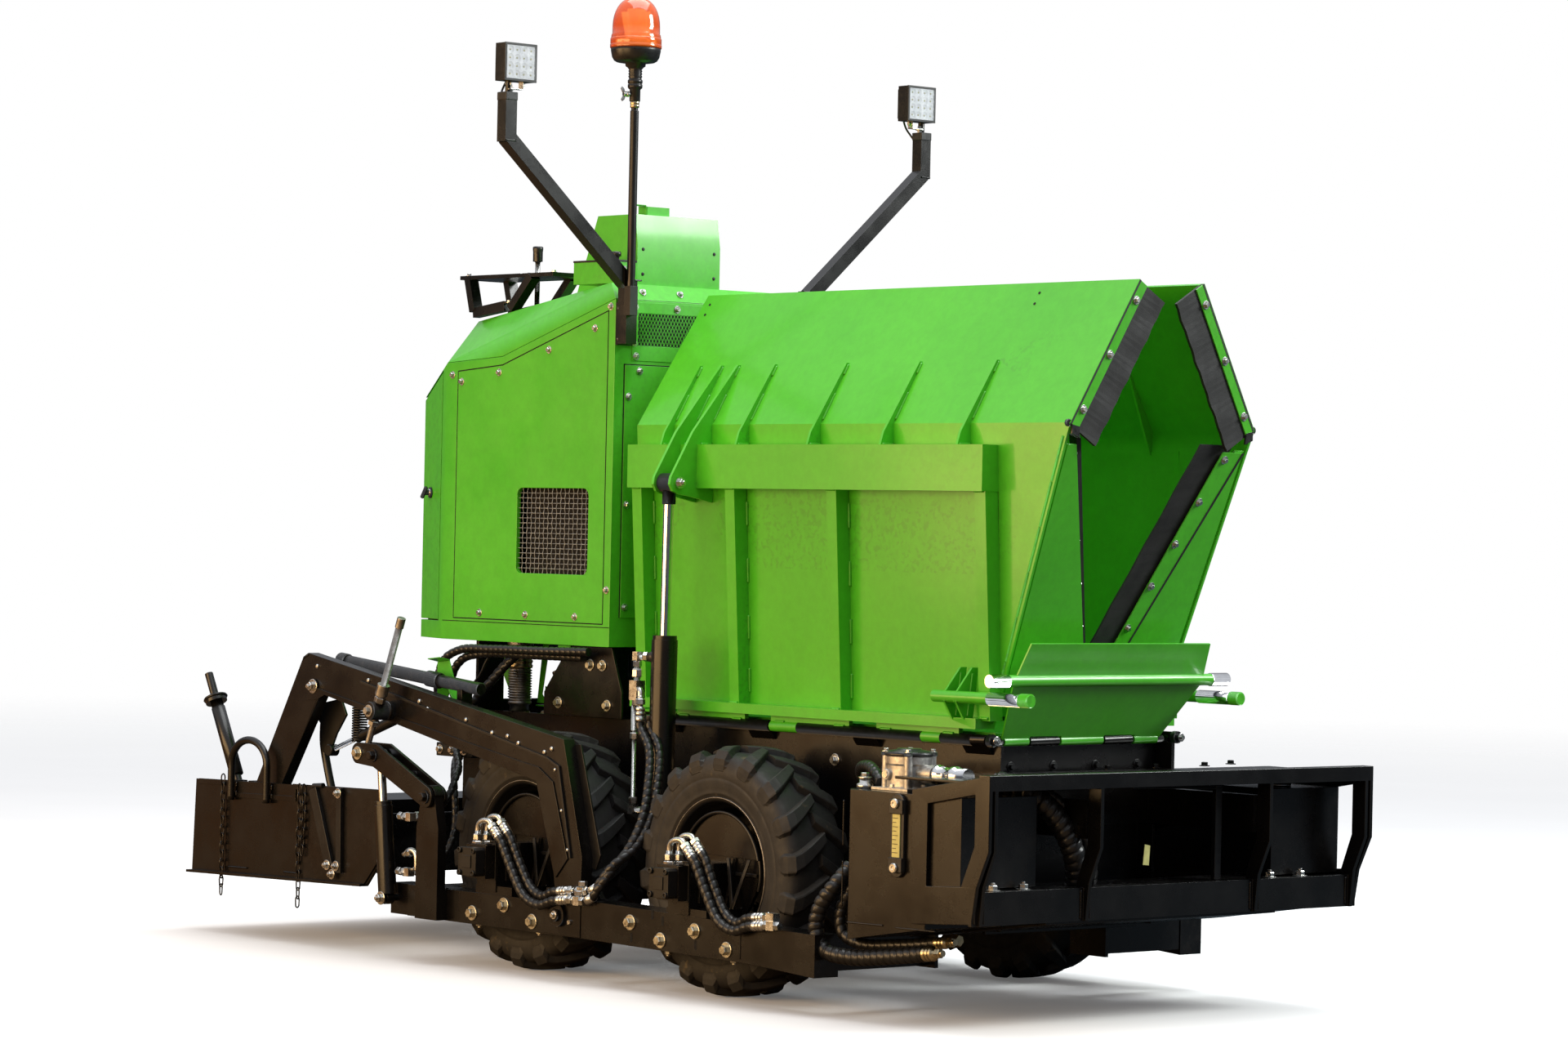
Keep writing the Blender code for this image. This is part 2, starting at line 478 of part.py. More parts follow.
def cabinet():
    def prism(d, z0, z1):
        return slab([(x, y, z0) for x, y in cab_outline(d)], (0, 0, z1 - z0))

    def above(g):
        """Everything above the joint between walls and roof, raised by g."""
        return [side([(CAB_X1 + 0.2, 1.951 + g + 0.2 * 0.303), (-0.727, 1.790 + g), (CAB_X0, 1.775 + g),
                      (REAR_X - 0.2, 1.672 + g - 0.103), (REAR_X - 0.2, 2.6), (CAB_X1 + 0.2, 2.6)], -0.6, 0.6)]
    # walls: tube with floor, open above, openings for panels and door
    shell = prism(0, CAB_Z0, 2.1)
    cuts = [prism(CAB_T, CAB_Z0 + CAB_T, 2.2)] + above(-0.001)
    for s in (-1, 1):
        cuts.append(side(grown(PANEL, 0.0012), S(s, CAB_Y - CAB_T - 0.01), S(s, CAB_Y + 0.01)))
    cuts.append(box(REAR_X - 0.05, CAB_X0 - 0.0385, -0.50, 0.50, 0.988, 1.80))
    cuts.append(box(-1.10, -0.85, -0.16, 0.16, CAB_Z0 - 0.01, CAB_Z0 + CAB_T + 0.01))
    make("cabinet_frame", [shell], cuts)
    # rear door wraps both chamfers
    door = prism(0, 0.992, 1.90)
    cuts = [prism(CAB_T, 0.98, 2.0), box(CAB_X0 - 0.0425, 0.3, -0.6, 0.6, 0.9, 2.1)] + above(-0.0085)
    make("rear_door", [door], cuts)
    for s, name in SIDES:
        parts = [side(PANEL, S(s, CAB_Y - CAB_T), S(s, CAB_Y))]
        cuts = [box(-0.640, -0.299, S(s, CAB_Y - 0.03), S(s, CAB_Y + 0.02), 1.142, 1.396)] if s < 0 else []
        make("%s_side_panel" % name, parts, cuts)
    # roof: hollow lid
    low = slab([(x, y, 1.60) for x, y in cab_outline(0)], (0, 0, 0.5))
    roof = hull(roof_points(0))
    under = hull(roof_points(CAB_T) + [(x, y, 1.55) for x, y in cab_outline(CAB_T + 0.001)])
    below = side([(CAB_X1 + 0.2, 1.951 + 0.2 * 0.303), (-0.727, 1.790), (CAB_X0, 1.775),
                  (REAR_X - 0.2, 1.672 - 0.103), (REAR_X - 0.2, 1.2), (CAB_X1 + 0.2, 1.2)], -0.6, 0.6)
    bpy.data.objects.remove(low, do_unlink=True)
    make("cabinet_roof", [roof], [below, under])
    make("engine", [box(-0.860, -0.430, -0.210, 0.210, CAB_Z0 + CAB_T + 0.0004, 1.520)])
    make("exhaust_pipe", [rod((-0.760, -0.250, 0.620), (-0.760, -0.250, CAB_Z0 - 0.0004), 0.024, 18),
                          rod((-0.760, -0.250, CAB_Z0 - 0.012), (-0.760, -0.250, CAB_Z0 - 0.0004), 0.040, 18)])


def console():
    def up(x):
        return 1.9985 + (1.9985 - 1.905) / (0.985 - 0.224) * (x + 0.224) + 0.0005
    body = hull([(x, y, z) for y in (-0.257, 0.061) for x, z in
                 ((-0.232, up(-0.232)), (-0.232, 2.121), (-0.246, 2.206), (-0.420, 2.206), (-0.520, up(-0.52)))])
    top = box(-0.300, -0.260, -0.200, -0.115, 2.200, 2.232)
    low = box(-0.420, -0.2325, -0.345, -0.250, up(-0.2325), 2.062)
    floor = side([(-0.6, up(-0.6)), (-0.1, up(-0.1)), (-0.1, 1.9), (-0.6, 1.8)], -0.4, 0.2)
    make("control_console", [body, top, low], [floor])
    # operator's lever stand at the back of the roof
    def seat(x):
        return up(x)
    parts = []
    for y in (-0.275, -0.125):
        parts.append(bar((-0.985, y, 1.935), (-1.015, y, 2.040), 0.026, 0.034, (0, 1, 0)))
        parts.append(bar((-0.985, y, 1.930), (-0.830, y, 1.948), 0.026, 0.030, (0, 0, 1)))
    parts.append(box(-1.050, -0.590, -0.290, -0.110, 2.032, 2.044))
    for y in (-0.275, -0.125):
        parts.append(bar((-0.700, y, 2.036), (-0.800, y, 1.938), 0.026, 0.034, (0, 1, 0)))
    parts.append(rod((-0.780, -0.200, 2.040), (-0.780, -0.200, 2.120), 0.007, 10))
    parts.append(rod((-0.780, -0.200, 2.085), (-0.780, -0.200, 2.128), 0.015, 14))
    floor = side([(-1.2, up(-1.2)), (-0.1, up(-0.1)), (-0.1, 1.7), (-1.2, 1.7)], -0.4, 0.2)
    make("lever_stand", parts, [floor])


def masts():
    for s, name in SIDES:
        y = 0.348
        parts = [box(CAB_X1 + 0.0004, CAB_X1 + 0.010, S(s, y - 0.037), S(s, y + 0.019), 1.815, 1.940),
                 box(CAB_X1 + 0.009, CAB_X1 + 0.049, S(s, y - 0.020), S(s, y + 0.020), 1.818, 2.006)]
        x = CAB_X1 + 0.029
        parts.append(bar((x, S(s, y - 0.004), 1.985), (x, S(s, 0.803), 2.388), 0.040, 0.040, (1, 0, 0)))
        parts.append(box(x - 0.020, x + 0.020, S(s, 0.783), S(s, 0.823), 2.375, 2.515))
        parts.append(rod((x, S(s, 0.800), 2.510), (x, S(s, 0.800), 2.565), 0.010, 12))
        parts.append(box(x - 0.022, x + 0.022, S(s, 0.722), S(s, 0.832), 2.548, 2.656))
        make("%s_mast" % name, parts)
    x, y = CAB_X1 + 0.0605, -0.350
    make("beacon", [rod((x, y, 2.010), (x, y, 2.560), 0.0112, 16), rod((x, y, 2.500), (x, y, 2.640), 0.024, 16),
                    rod((x, y, 2.636), (x, y, 2.700), 0.072, 28), rod((x, y, 2.696), (x, y, 2.800), 0.066, 28),
                    rod((x, y, 2.798), (x, y, 2.824), 0.045, 28),
                    box(x - 0.0110, x + 0.014, y - 0.014, y + 0.014, 1.900, 2.012)])


# ---------------------------------------------------------------- screed
def arms():
    px, pz = PIVOT
    outer = [(-1.500, 0.440), (-1.240, 0.872), (-1.215, 0.884), (0.041, 0.682), (0.135, 0.353), (0.130, 0.230)]
    outer += arc(px, pz, 0.052, 20, -200, 10)
    outer += [(0.008, 0.300), (-0.082, 0.560), (-1.118, 0.768), (-1.160, 0.752), (-1.390, 0.410)]
    for s, name in SIDES:
        parts = [side(outer, S(s, ARM_Y0), S(s, ARM_Y1))]
        # foot that carries the screed, trunnion boss for the lifting spindle
        parts.append(side([(-1.520, 0.360), (-1.370, 0.360), (-1.370, 0.480), (-1.520, 0.480)],
                          S(s, ARM_Y0), S(s, ARM_Y1)))
        parts.append(disc(TRUN[0], TRUN[1], 0.022, S(s, ARM_Y1 - 0.002), S(s, LINK_Y - 0.019), 18))
        hole = disc(px, pz, 0.0188, S(s, 0.60), S(s, 0.80), 20)
        make("%s_tow_arm" % name, parts, [hole])
    parts = [side([(-1.520, 0.205), (-1.230, 0.205), (-1.230, 0.430), (-1.520, 0.430)], -0.6705, 0.6705),
             side([(-1.800, 0.195), (-1.500, 0.188), (-1.500, 0.300), (-1.760, 0.300)], -0.6705, 0.6705),
             box(-1.260, -1.060, -0.6705, 0.6705, 0.225, 0.240),
             box(-1.075, -1.060, -0.6705, 0.6705, 0.235, 0.400)]
    make("screed_body", parts, [])
    for s, name in SIDES:
        y0, y1 = ARM_Y1 + 0.0004, ARM_Y1 + 0.0104
        plate = [(-1.790, 0.472), (-0.802, 0.490), (-0.790, 0.300), (-0.880, 0.200), (-1.805, 0.180)]
        parts = [side(plate, S(s, y0), S(s, y1)),
                 side([(-1.805, 0.180), (-0.880, 0.200), (-0.880, 0.208), (-1.805, 0.188)], S(s, y1 - 0.002), S(s, y1 + 0.022))]
        for x, z in ((-1.250, 0.33), (-1.700, 0.24)):
            parts.append(box(x - 0.03, x + 0.03, S(s, 0.6709), S(s, y0 + 0.002), z - 0.03, z + 0.03))
        parts.append(rod((-1.600, S(s, 0.690), 0.465), (-1.780, S(s, 0.690), 0.800), 0.013, 12))
        parts.append(rod((-1.733, S(s, 0.690), 0.712), (-1.742, S(s, 0.690), 0.729), 0.034, 18))
        parts.append(box(-1.625, -1.575, S(s, 0.676), S(s, y0 + 0.002), 0.430, 0.478))
        make("%s_end_plate" % name, parts, [])


def lift_links():
    for s, name in SIDES:
        (px, pz), (ex, ez), (sx, sz) = LINK_P, LINK_E, LINK_S
        out = arc(px, pz, 0.032, -120, 60, 8) + [(ex + 0.015, ez + 0.034)]
        out += arc(sx, sz, 0.032, 80, 250, 8) + [(ex, ez - 0.034)]
        parts = []
        for a, b in ((0.0190, 0.0290), (-0.0290, -0.0190)):
            parts.append(side(out, S(s, LINK_Y + a), S(s, LINK_Y + b)))
        # spacer tube between the plates
        mx, mz = (px + ex) / 2 + 0.012, (pz + ez) / 2 + 0.004
        parts.append(disc(mx, mz, 0.012, S(s, LINK_Y - 0.024), S(s, LINK_Y + 0.024), 14))
        hole = disc(px, pz, 0.0118, S(s, 0.70), S(s, 0.82), 16)
        make("%s_lift_link" % name, parts, [hole])
        # threaded spindle through the trunnion, lower eye between the link plates
        low = Vector((sx, S(s, LINK_Y), sz))
        mid = Vector((TRUN[0], S(s, LINK_Y), TRUN[1]))
        d = (mid - low).normalized()
        parts = [rod(low - d * 0.0, mid + d * 0.270, 0.009, 12),
                 rod(low - Vector((0, 0.013, 0)), low + Vector((0, 0.013, 0)), 0.019, 18),
                 rod(mid - Vector((0, 0.016, 0)), mid + Vector((0, 0.016, 0)), 0.026, 18),
                 rod(mid + d * 0.050, mid + d * 0.085, 0.019, 14),
                 rod(mid + d * 0.268, mid + d * 0.300, 0.013, 12)]
        make("%s_lift_spindle" % name, parts, [])


clear()
chassis()
bumper()
tanks()
side_beams()
wheels()
hopper_floor()
wings()
apron()
cylinders()
cabinet()
console()
masts()
arms()
lift_links()
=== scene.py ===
# Looks of a small wheeled asphalt paver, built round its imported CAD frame.
# X forward, Y to the machine's left, Z up, metres; the ground is Z = 0.
import json
import math
import random

import bmesh
import bpy
from mathutils import Matrix, Vector


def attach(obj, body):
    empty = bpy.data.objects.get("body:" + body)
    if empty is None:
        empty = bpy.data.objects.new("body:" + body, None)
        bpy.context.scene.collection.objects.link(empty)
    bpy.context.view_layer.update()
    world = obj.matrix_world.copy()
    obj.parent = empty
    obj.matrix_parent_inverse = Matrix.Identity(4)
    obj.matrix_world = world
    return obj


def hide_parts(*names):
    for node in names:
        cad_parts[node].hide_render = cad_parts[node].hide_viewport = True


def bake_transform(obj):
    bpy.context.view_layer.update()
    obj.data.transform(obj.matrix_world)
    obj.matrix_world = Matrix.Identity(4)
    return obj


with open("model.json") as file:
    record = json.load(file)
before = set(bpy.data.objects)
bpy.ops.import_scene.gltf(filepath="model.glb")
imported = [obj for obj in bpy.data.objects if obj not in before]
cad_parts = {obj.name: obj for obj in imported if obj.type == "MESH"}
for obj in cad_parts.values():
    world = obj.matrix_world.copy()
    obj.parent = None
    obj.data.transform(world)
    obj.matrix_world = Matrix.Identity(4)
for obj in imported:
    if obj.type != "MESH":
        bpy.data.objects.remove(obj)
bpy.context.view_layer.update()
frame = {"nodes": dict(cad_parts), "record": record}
random.seed(7)

SIDES = ((-1, "right"), (1, "left"))
X, Y, Z = Vector((1, 0, 0)), Vector((0, 1, 0)), Vector((0, 0, 1))
scene = bpy.context.scene


# ---------------------------------------------------------------- camera
CAMERA_PLACE = (10.245, -8.776, 1.284)
CAMERA_TURN = (48.987, -0.11, -1.198)      # yaw, pitch and roll, degrees
CAMERA_LENS, SENSOR_WIDTH = 105.48, 36.0   # mm


def camera():
    yaw, pitch, roll = (math.radians(a) for a in CAMERA_TURN)
    back = Vector((math.sin(yaw) * math.cos(pitch), -math.cos(yaw) * math.cos(pitch), math.sin(pitch)))
    right = (-back).cross(Z).normalized()
    down = (-back).cross(right)
    across = right * math.cos(roll) + down * math.sin(roll)
    below = down * math.cos(roll) - right * math.sin(roll)
    data = bpy.data.cameras.new("photo_camera")
    data.sensor_fit = "HORIZONTAL"
    data.sensor_width = SENSOR_WIDTH
    data.lens = CAMERA_LENS
    data.clip_end = 200.0
    ob = bpy.data.objects.new("photo_camera", data)
    turn = Matrix((across, -below, back)).transposed()
    ob.matrix_world = Matrix.Translation(CAMERA_PLACE) @ turn.to_4x4()
    scene.collection.objects.link(ob)
    scene.camera = ob


camera()


# ---------------------------------------------------------------- materials
def new_mat(name):
    m = bpy.data.materials.new(name)
    m.use_nodes = True
    nt = m.node_tree
    return m, nt, nt.nodes["Principled BSDF"]


def noise(nt, scale, detail=4.0, rough=0.55, stretch=None):
    co = nt.nodes.new("ShaderNodeTexCoord")
    mp = nt.nodes.new("ShaderNodeMapping")
    if stretch:
        mp.inputs["Scale"].default_value = stretch
    nz = nt.nodes.new("ShaderNodeTexNoise")
    nz.inputs["Scale"].default_value = scale
    nz.inputs["Detail"].default_value = detail
    nz.inputs["Roughness"].default_value = rough
    nt.links.new(co.outputs["Object"], mp.inputs["Vector"])
    nt.links.new(mp.outputs["Vector"], nz.inputs["Vector"])
    return nz.outputs["Fac"]


def ramp(nt, fac, stops):
    r = nt.nodes.new("ShaderNodeValToRGB")
    els = r.color_ramp.elements
    while len(els) < len(stops):
        els.new(0.5)
    for e, (p, c) in zip(els, stops):
        e.position = p
        e.color = (*c, 1.0) if len(c) == 3 else c
    nt.links.new(fac, r.inputs["Fac"])
    return r.outputs["Color"]


def grey(v):
    return (v, v, v)


def mix(nt, fac, a, b):
    n = nt.nodes.new("ShaderNodeMix")
    n.data_type = "RGBA"
    for key, val in ((0, fac), (6, a), (7, b)):
        if hasattr(val, "links") or hasattr(val, "is_linked"):
            nt.links.new(val, n.inputs[key])
        elif key == 0:
            n.inputs[0].default_value = val
        else:
            n.inputs[key].default_value = (*val, 1.0)
    return n.outputs[2]


def maths(nt, op, a, b=0.0, clamp=False):
    n = nt.nodes.new("ShaderNodeMath")
    n.operation = op
    n.use_clamp = clamp
    for i, val in enumerate((a, b)):
        if hasattr(val, "is_linked"):
            nt.links.new(val, n.inputs[i])
        else:
            n.inputs[i].default_value = val
    return n.outputs[0]


def height(nt):
    co = nt.nodes.new("ShaderNodeTexCoord")
    sp = nt.nodes.new("ShaderNodeSeparateXYZ")
    nt.links.new(co.outputs["Object"], sp.inputs[0])
    return sp.outputs["Z"]


def bump(nt, bsdf, fac, strength, distance):
    b = nt.nodes.new("ShaderNodeBump")
    b.inputs["Strength"].default_value = strength
    b.inputs["Distance"].default_value = distance
    nt.links.new(fac, b.inputs["Height"])
    nt.links.new(b.outputs["Normal"], bsdf.inputs["Normal"])


def put(bsdf, **values):
    for key, val in values.items():
        bsdf.inputs[key.replace("_", " ")].default_value = val


def painted(name, light, deep, dust, dust_amount, rough, coat, peel, wear, metal_under):
    """Enamel over steel: mottled colour, dust that gathers low down and in patches, orange peel, and worn ridges."""
    m, nt, b = new_mat(name)
    base = ramp(nt, noise(nt, 2.3, 5.0), [(0.30, deep), (0.70, light)])
    fine = ramp(nt, noise(nt, 34.0, 6.0, 0.65), [(0.35, grey(0.90)), (0.65, grey(1.0))])
    mul = nt.nodes.new("ShaderNodeMix")
    mul.data_type = "RGBA"
    mul.blend_type = "MULTIPLY"
    mul.inputs[0].default_value = 1.0
    nt.links.new(base, mul.inputs[6])
    nt.links.new(fine, mul.inputs[7])
    low = maths(nt, "MULTIPLY_ADD", height(nt), -0.45)
    low.node.inputs[2].default_value = 0.62
    patch = ramp(nt, noise(nt, 5.5, 7.0, 0.7), [(0.45, grey(0.0)), (0.72, grey(1.0))])
    dirt = maths(nt, "MULTIPLY", maths(nt, "MULTIPLY", low, patch, True), dust_amount, True)
    colour = mix(nt, dirt, mul.outputs[2], dust)
    geo = nt.nodes.new("ShaderNodeNewGeometry")
    ridge = ramp(nt, geo.outputs["Pointiness"], [(0.545, grey(0.0)), (0.60, grey(1.0))])
    worn = maths(nt, "MULTIPLY", ridge,
                 ramp(nt, noise(nt, 60.0, 3.0), [(0.50, grey(0.0)), (0.62, grey(1.0))]))
    colour = mix(nt, maths(nt, "MULTIPLY", worn, wear), colour, metal_under)
    nt.links.new(colour, b.inputs["Base Color"])
    rg = ramp(nt, noise(nt, 9.0, 5.0), [(0.3, grey(rough - 0.05)), (0.7, grey(rough + 0.08))])
    nt.links.new(maths(nt, "ADD", rg, maths(nt, "MULTIPLY", dirt, 0.35), True), b.inputs["Roughness"])
    put(b, Coat_Weight=coat, Coat_Roughness=0.12)
    bump(nt, b, noise(nt, 420.0, 2.0), peel, 0.0006)
    return m


GREEN = painted("green_enamel", (0.090, 0.590, 0.022), (0.073, 0.515, 0.018), (0.20, 0.22, 0.10), 0.16,
                0.34, 0.35, 0.10, 0.30, (0.05, 0.20, 0.02))
BLACK = painted("black_enamel", (0.0042, 0.0034, 0.0031), (0.0026, 0.0024, 0.0024), (0.036, 0.029, 0.022), 0.10,
                0.25, 0.0, 0.14, 0.22, (0.05, 0.04, 0.034))
SATIN = painted("satin_black", (0.0052, 0.0052, 0.0056), (0.0034, 0.0034, 0.0037), (0.05, 0.04, 0.03), 0.08,
                0.34, 0.0, 0.20, 0.12, (0.05, 0.048, 0.046))


def metal(name, colour, dark, rough, scale=60.0, stretch=None, metallic=1.0):
    m, nt, b = new_mat(name)
    f = noise(nt, scale, 5.0, 0.6, stretch)
    nt.links.new(ramp(nt, f, [(0.30, dark), (0.68, colour)]), b.inputs["Base Color"])
    nt.links.new(ramp(nt, noise(nt, scale * 0.7, 4.0), [(0.3, grey(rough * 0.7)), (0.75, grey(rough * 1.5))]),
                 b.inputs["Roughness"])
    put(b, Metallic=metallic)
    bump(nt, b, f, 0.12, 0.0004)
    return m


CHROME = metal("hard_chrome", (0.82, 0.83, 0.84), (0.66, 0.67, 0.69), 0.10, 25.0)
ZINC = metal("zinc_plate", (0.80, 0.80, 0.78), (0.52, 0.52, 0.50), 0.26, 90.0)
YZINC = metal("yellow_zinc", (0.76, 0.72, 0.58), (0.50, 0.48, 0.40), 0.30, 90.0)
STEEL = metal("bare_steel", (0.46, 0.45, 0.44), (0.24, 0.22, 0.20), 0.38, 40.0)
WIRE = metal("mesh_wire", (0.40, 0.44, 0.48), (0.24, 0.27, 0.30), 0.40, 60.0, None, 0.6)
CAST = metal("cast_aluminium", (0.62, 0.61, 0.58), (0.40, 0.39, 0.37), 0.42, 120.0)
BRASS = metal("brass", (0.70, 0.58, 0.36), (0.42, 0.36, 0.24), 0.28, 50.0)


def rubber(name, light, dark, stain, stain_from, rough, grain):
    m, nt, b = new_mat(name)
    base = ramp(nt, noise(nt, 14.0, 7.0, 0.65), [(0.32, dark), (0.70, light)])
    st = ramp(nt, noise(nt, 19.0, 5.0, 0.6), [(stain_from, grey(0.0)), (stain_from + 0.10, grey(0.75))])
    nt.links.new(mix(nt, st, base, stain), b.inputs["Base Color"])
    nt.links.new(ramp(nt, noise(nt, 30.0, 4.0), [(0.3, grey(rough)), (0.7, grey(rough + 0.2))]),
                 b.inputs["Roughness"])
    bump(nt, b, noise(nt, grain, 6.0, 0.7), 0.35, 0.0010)
    return m


TYRE = rubber("tyre_rubber", (0.022, 0.021, 0.020), (0.010, 0.0095, 0.0095), (0.12, 0.09, 0.045), 0.64, 0.55,
              160.0)
HOSE = rubber("hose_rubber", (0.013, 0.013, 0.014), (0.006, 0.006, 0.006), (0.05, 0.045, 0.04), 0.76, 0.24,
              220.0)
EDGE = rubber("edge_rubber", (0.022, 0.022, 0.022), (0.010, 0.010, 0.010), (0.05, 0.05, 0.045), 0.70, 0.55,
              260.0)


def plain(name, colour, dark, rough, scale=40.0, **extra):
    m, nt, b = new_mat(name)
    nt.links.new(ramp(nt, noise(nt, scale, 4.0), [(0.3, dark), (0.7, colour)]), b.inputs["Base Color"])
    nt.links.new(ramp(nt, noise(nt, scale * 2, 3.0), [(0.3, grey(rough * 0.8)), (0.7, grey(rough * 1.2))]),
                 b.inputs["Roughness"])
    put(b, **extra)
    return m


PLASTIC = plain("black_plastic", (0.020, 0.020, 0.021), (0.012, 0.012, 0.012), 0.32)
# painted shade: flat near-black filling holes, slots, seams and the space behind vents, where there is only shade
PAINTED_SHADE = plain("painted_shade_dark", (0.006, 0.006, 0.006), (0.003, 0.003, 0.003), 0.9)
# painted glow: a weak emission makes the beacon's lens glow, though nothing in it is lit
AMBER_GLOW = plain("amber_lens_painted_glow", (0.95, 0.16, 0.010), (0.85, 0.11, 0.006), 0.10, 12.0,
              Transmission_Weight=0.55, IOR=1.49, Coat_Weight=0.6, Emission_Color=(0.9, 0.14, 0.01, 1.0),
              Emission_Strength=0.10)
LENS = plain("clear_lens", (0.86, 0.88, 0.90), (0.78, 0.80, 0.83), 0.06, 30.0,
             Transmission_Weight=0.85, IOR=1.45)
# painted glow: the reflectors emit light so the lamp faces look bright, though the lamps are not lit
GLOWING_REFLECTOR = plain("reflector_painted_glow", (0.86, 0.87, 0.88), (0.70, 0.72, 0.74), 0.16, 30.0,
                  Emission_Color=(1.0, 1.0, 1.0, 1.0), Emission_Strength=0.45)
LED = plain("led_yellow", (0.85, 0.80, 0.45), (0.75, 0.70, 0.35), 0.3)
SIGHT = plain("sight_glass", (0.75, 0.72, 0.28), (0.60, 0.58, 0.22), 0.15, 60.0, Coat_Weight=0.5)
ENGINE = metal("engine_block", (0.10, 0.10, 0.10), (0.04, 0.04, 0.04), 0.5, 30.0, None, 0.4)

SLOT_LOOKS = {"black_paint": BLACK, "green_paint": GREEN, "zinc": ZINC, "chrome": CHROME, "tyre": TYRE,
              "amber": AMBER_GLOW, "cast": CAST, "steel": STEEL, "engine": ENGINE}


# ---------------------------------------------------------------- shape tools
class Kit:
    """Collects closed shapes and makes one piece of them."""

    def __init__(self):
        self.verts, self.faces, self.soft = [], [], []

    def add(self, verts, faces, soft=False):
        n = len(self.verts)
        self.verts += [Vector(v) for v in verts]
        self.faces += [tuple(i + n for i in f) for f in faces]
        self.soft += [soft] * len(faces) if isinstance(soft, bool) else list(soft)

    def piece(self, name, material, body, bevel=0.0):
        me = bpy.data.meshes.new(name)
        me.from_pydata([tuple(v) for v in self.verts], [], self.faces)
        me.polygons.foreach_set("use_smooth", self.soft)
        bm = bmesh.new()
        bm.from_mesh(me)
        bmesh.ops.recalc_face_normals(bm, faces=bm.faces)
        bm.to_mesh(me)
        bm.free()
        me.materials.append(material)
        ob = bpy.data.objects.new(name, me)
        scene.collection.objects.link(ob)
        if bevel:
            soften(ob, bevel, 0.0)
        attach(ob, body)
        return ob

    # shapes
    def slab(self, points, off, soft=False):
        points = [Vector(p) for p in points]
        off = Vector(off)
        n = len(points)
        self.add(points + [p + off for p in points],
                 [tuple(range(n)), tuple(range(2 * n - 1, n - 1, -1))]
                 + [(i, (i + 1) % n, (i + 1) % n + n, i + n) for i in range(n)], soft)

    def sheet(self, outline, y, thick):
        """Flat plate of (x, z) corners on the plane y, thick towards +y (or -y if negative)."""
        self.slab([(x, y, z) for x, z in outline], (0, thick, 0))

    def block(self, x0, x1, y0, y1, z0, z1):
        self.slab([(x0, y0, z0), (x1, y0, z0), (x1, y1, z0), (x0, y1, z0)], (0, 0, z1 - z0))

    def turned(self, profile, origin, axis, n=24, phase=0.0, soft=True):
        """Profile of (radius, distance along the axis) turned about it; radius 0 closes an end."""
        o, a = Vector(origin), Vector(axis).normalized()
        u = a.orthogonal().normalized()
        v = a.cross(u)
        verts, rings = [], []
        for r, t in profile:
            c = o + a * t
            if r < 1e-7:
                rings.append([len(verts)])
                verts.append(c)
            else:
                rings.append(list(range(len(verts), len(verts) + n)))
                verts += [c + (u * math.cos(w) + v * math.sin(w)) * r
                          for w in (2 * math.pi * (i + phase) / n for i in range(n))]
        faces, soft_list = [], []
        for k, (p, q) in enumerate(zip(rings, rings[1:])):
            flat = abs(profile[k][1] - profile[k + 1][1]) < 1e-7
            for i in range(n):
                j = (i + 1) % n
                if len(p) == 1:
                    faces.append((p[0], q[j], q[i]))
                elif len(q) == 1:
                    faces.append((p[i], p[j], q[0]))
                else:
                    faces.append((p[i], p[j], q[j], q[i]))
                soft_list.append(soft and not flat)
        self.add(verts, faces, soft_list)

    def rod(self, p, q, r, n=20, chamfer=0.0):
        p, q = Vector(p), Vector(q)
        d = (q - p).length
        c = min(chamfer, r * 0.5, d * 0.4)
        if c:
            prof = [(0, 0), (r - c, 0), (r - c, 0), (r, c), (r, c), (r, d - c), (r, d - c), (r - c, d),
                    (r - c, d), (0, d)]
        else:
            prof = [(0, 0), (r, 0), (r, 0), (r, d), (r, d), (0, d)]
        self.turned(prof, p, q - p, n)

    def hexagon(self, p, axis, across, tall, turn=0.0):
        """Hexagonal prism with rounded-off corners."""
        r = across / math.sqrt(3)
        e = tall * 0.18
        self.turned([(0, 0), (r * 0.98, 0), (r, e * 0.4), (r, tall - e), (r * 0.86, tall), (0, tall)],
                    p, axis, 6, turn, False)

    def bolt(self, p, axis, across=0.017, washer=True, stud=False, turn=None):
        """Hexagon head, washer and, if asked, the stud's end standing out of a nut."""
        p, a = Vector(p), Vector(axis).normalized()
        w = across * 0.16 if washer else 0.0
        if washer:
            r = across * 0.92
            self.turned([(0, 0), (r, 0), (r, w * 0.8), (r * 0.94, w), (0, w)], p, a, 18, 0, False)
        self.hexagon(p + a * w * 0.95, a, across, across * 0.58, random.random() if turn is None else turn)
        top = w + across * 0.58
        if stud:
            self.turned([(0, 0), (across * 0.30, 0), (across * 0.30, across * 0.22),
                         (across * 0.22, across * 0.30),
                         (0, across * 0.30)], p + a * top * 0.97, a, 12, 0, False)

    def tube(self, path, r, n=12, closed=False, caps=True, shape=None, soft=True):
        """Round bar along a path; shape(distance, angle) scales its radius."""
        pts = [Vector(p) for p in path]
        m = len(pts)
        tan = []
        for i in range(m):
            a = pts[(i - 1) % m] if closed or i else pts[0]
            b = pts[(i + 1) % m] if closed or i < m - 1 else pts[-1]
            tan.append((b - a).normalized())
        u = tan[0].orthogonal().normalized()
        dist, verts = 0.0, []
        for i in range(m):
            if i:
                dist += (pts[i] - pts[i - 1]).length
                u = (u - tan[i] * u.dot(tan[i])).normalized()
            v = tan[i].cross(u)
            for k in range(n):
                w = 2 * math.pi * k / n
                q = r * (shape(dist, w) if shape else 1.0)
                verts.append(pts[i] + (u * math.cos(w) + v * math.sin(w)) * q)
        faces = []
        for i in range(m if closed else m - 1):
            a, b = i * n, ((i + 1) % m) * n
            faces += [(a + k, a + (k + 1) % n, b + (k + 1) % n, b + k) for k in range(n)]
        flags = [soft] * len(faces)
        if caps and not closed:
            faces += [tuple(range(n - 1, -1, -1)), tuple(range((m - 1) * n, m * n))]
            flags += [False, False]
        self.add(verts, faces, flags)

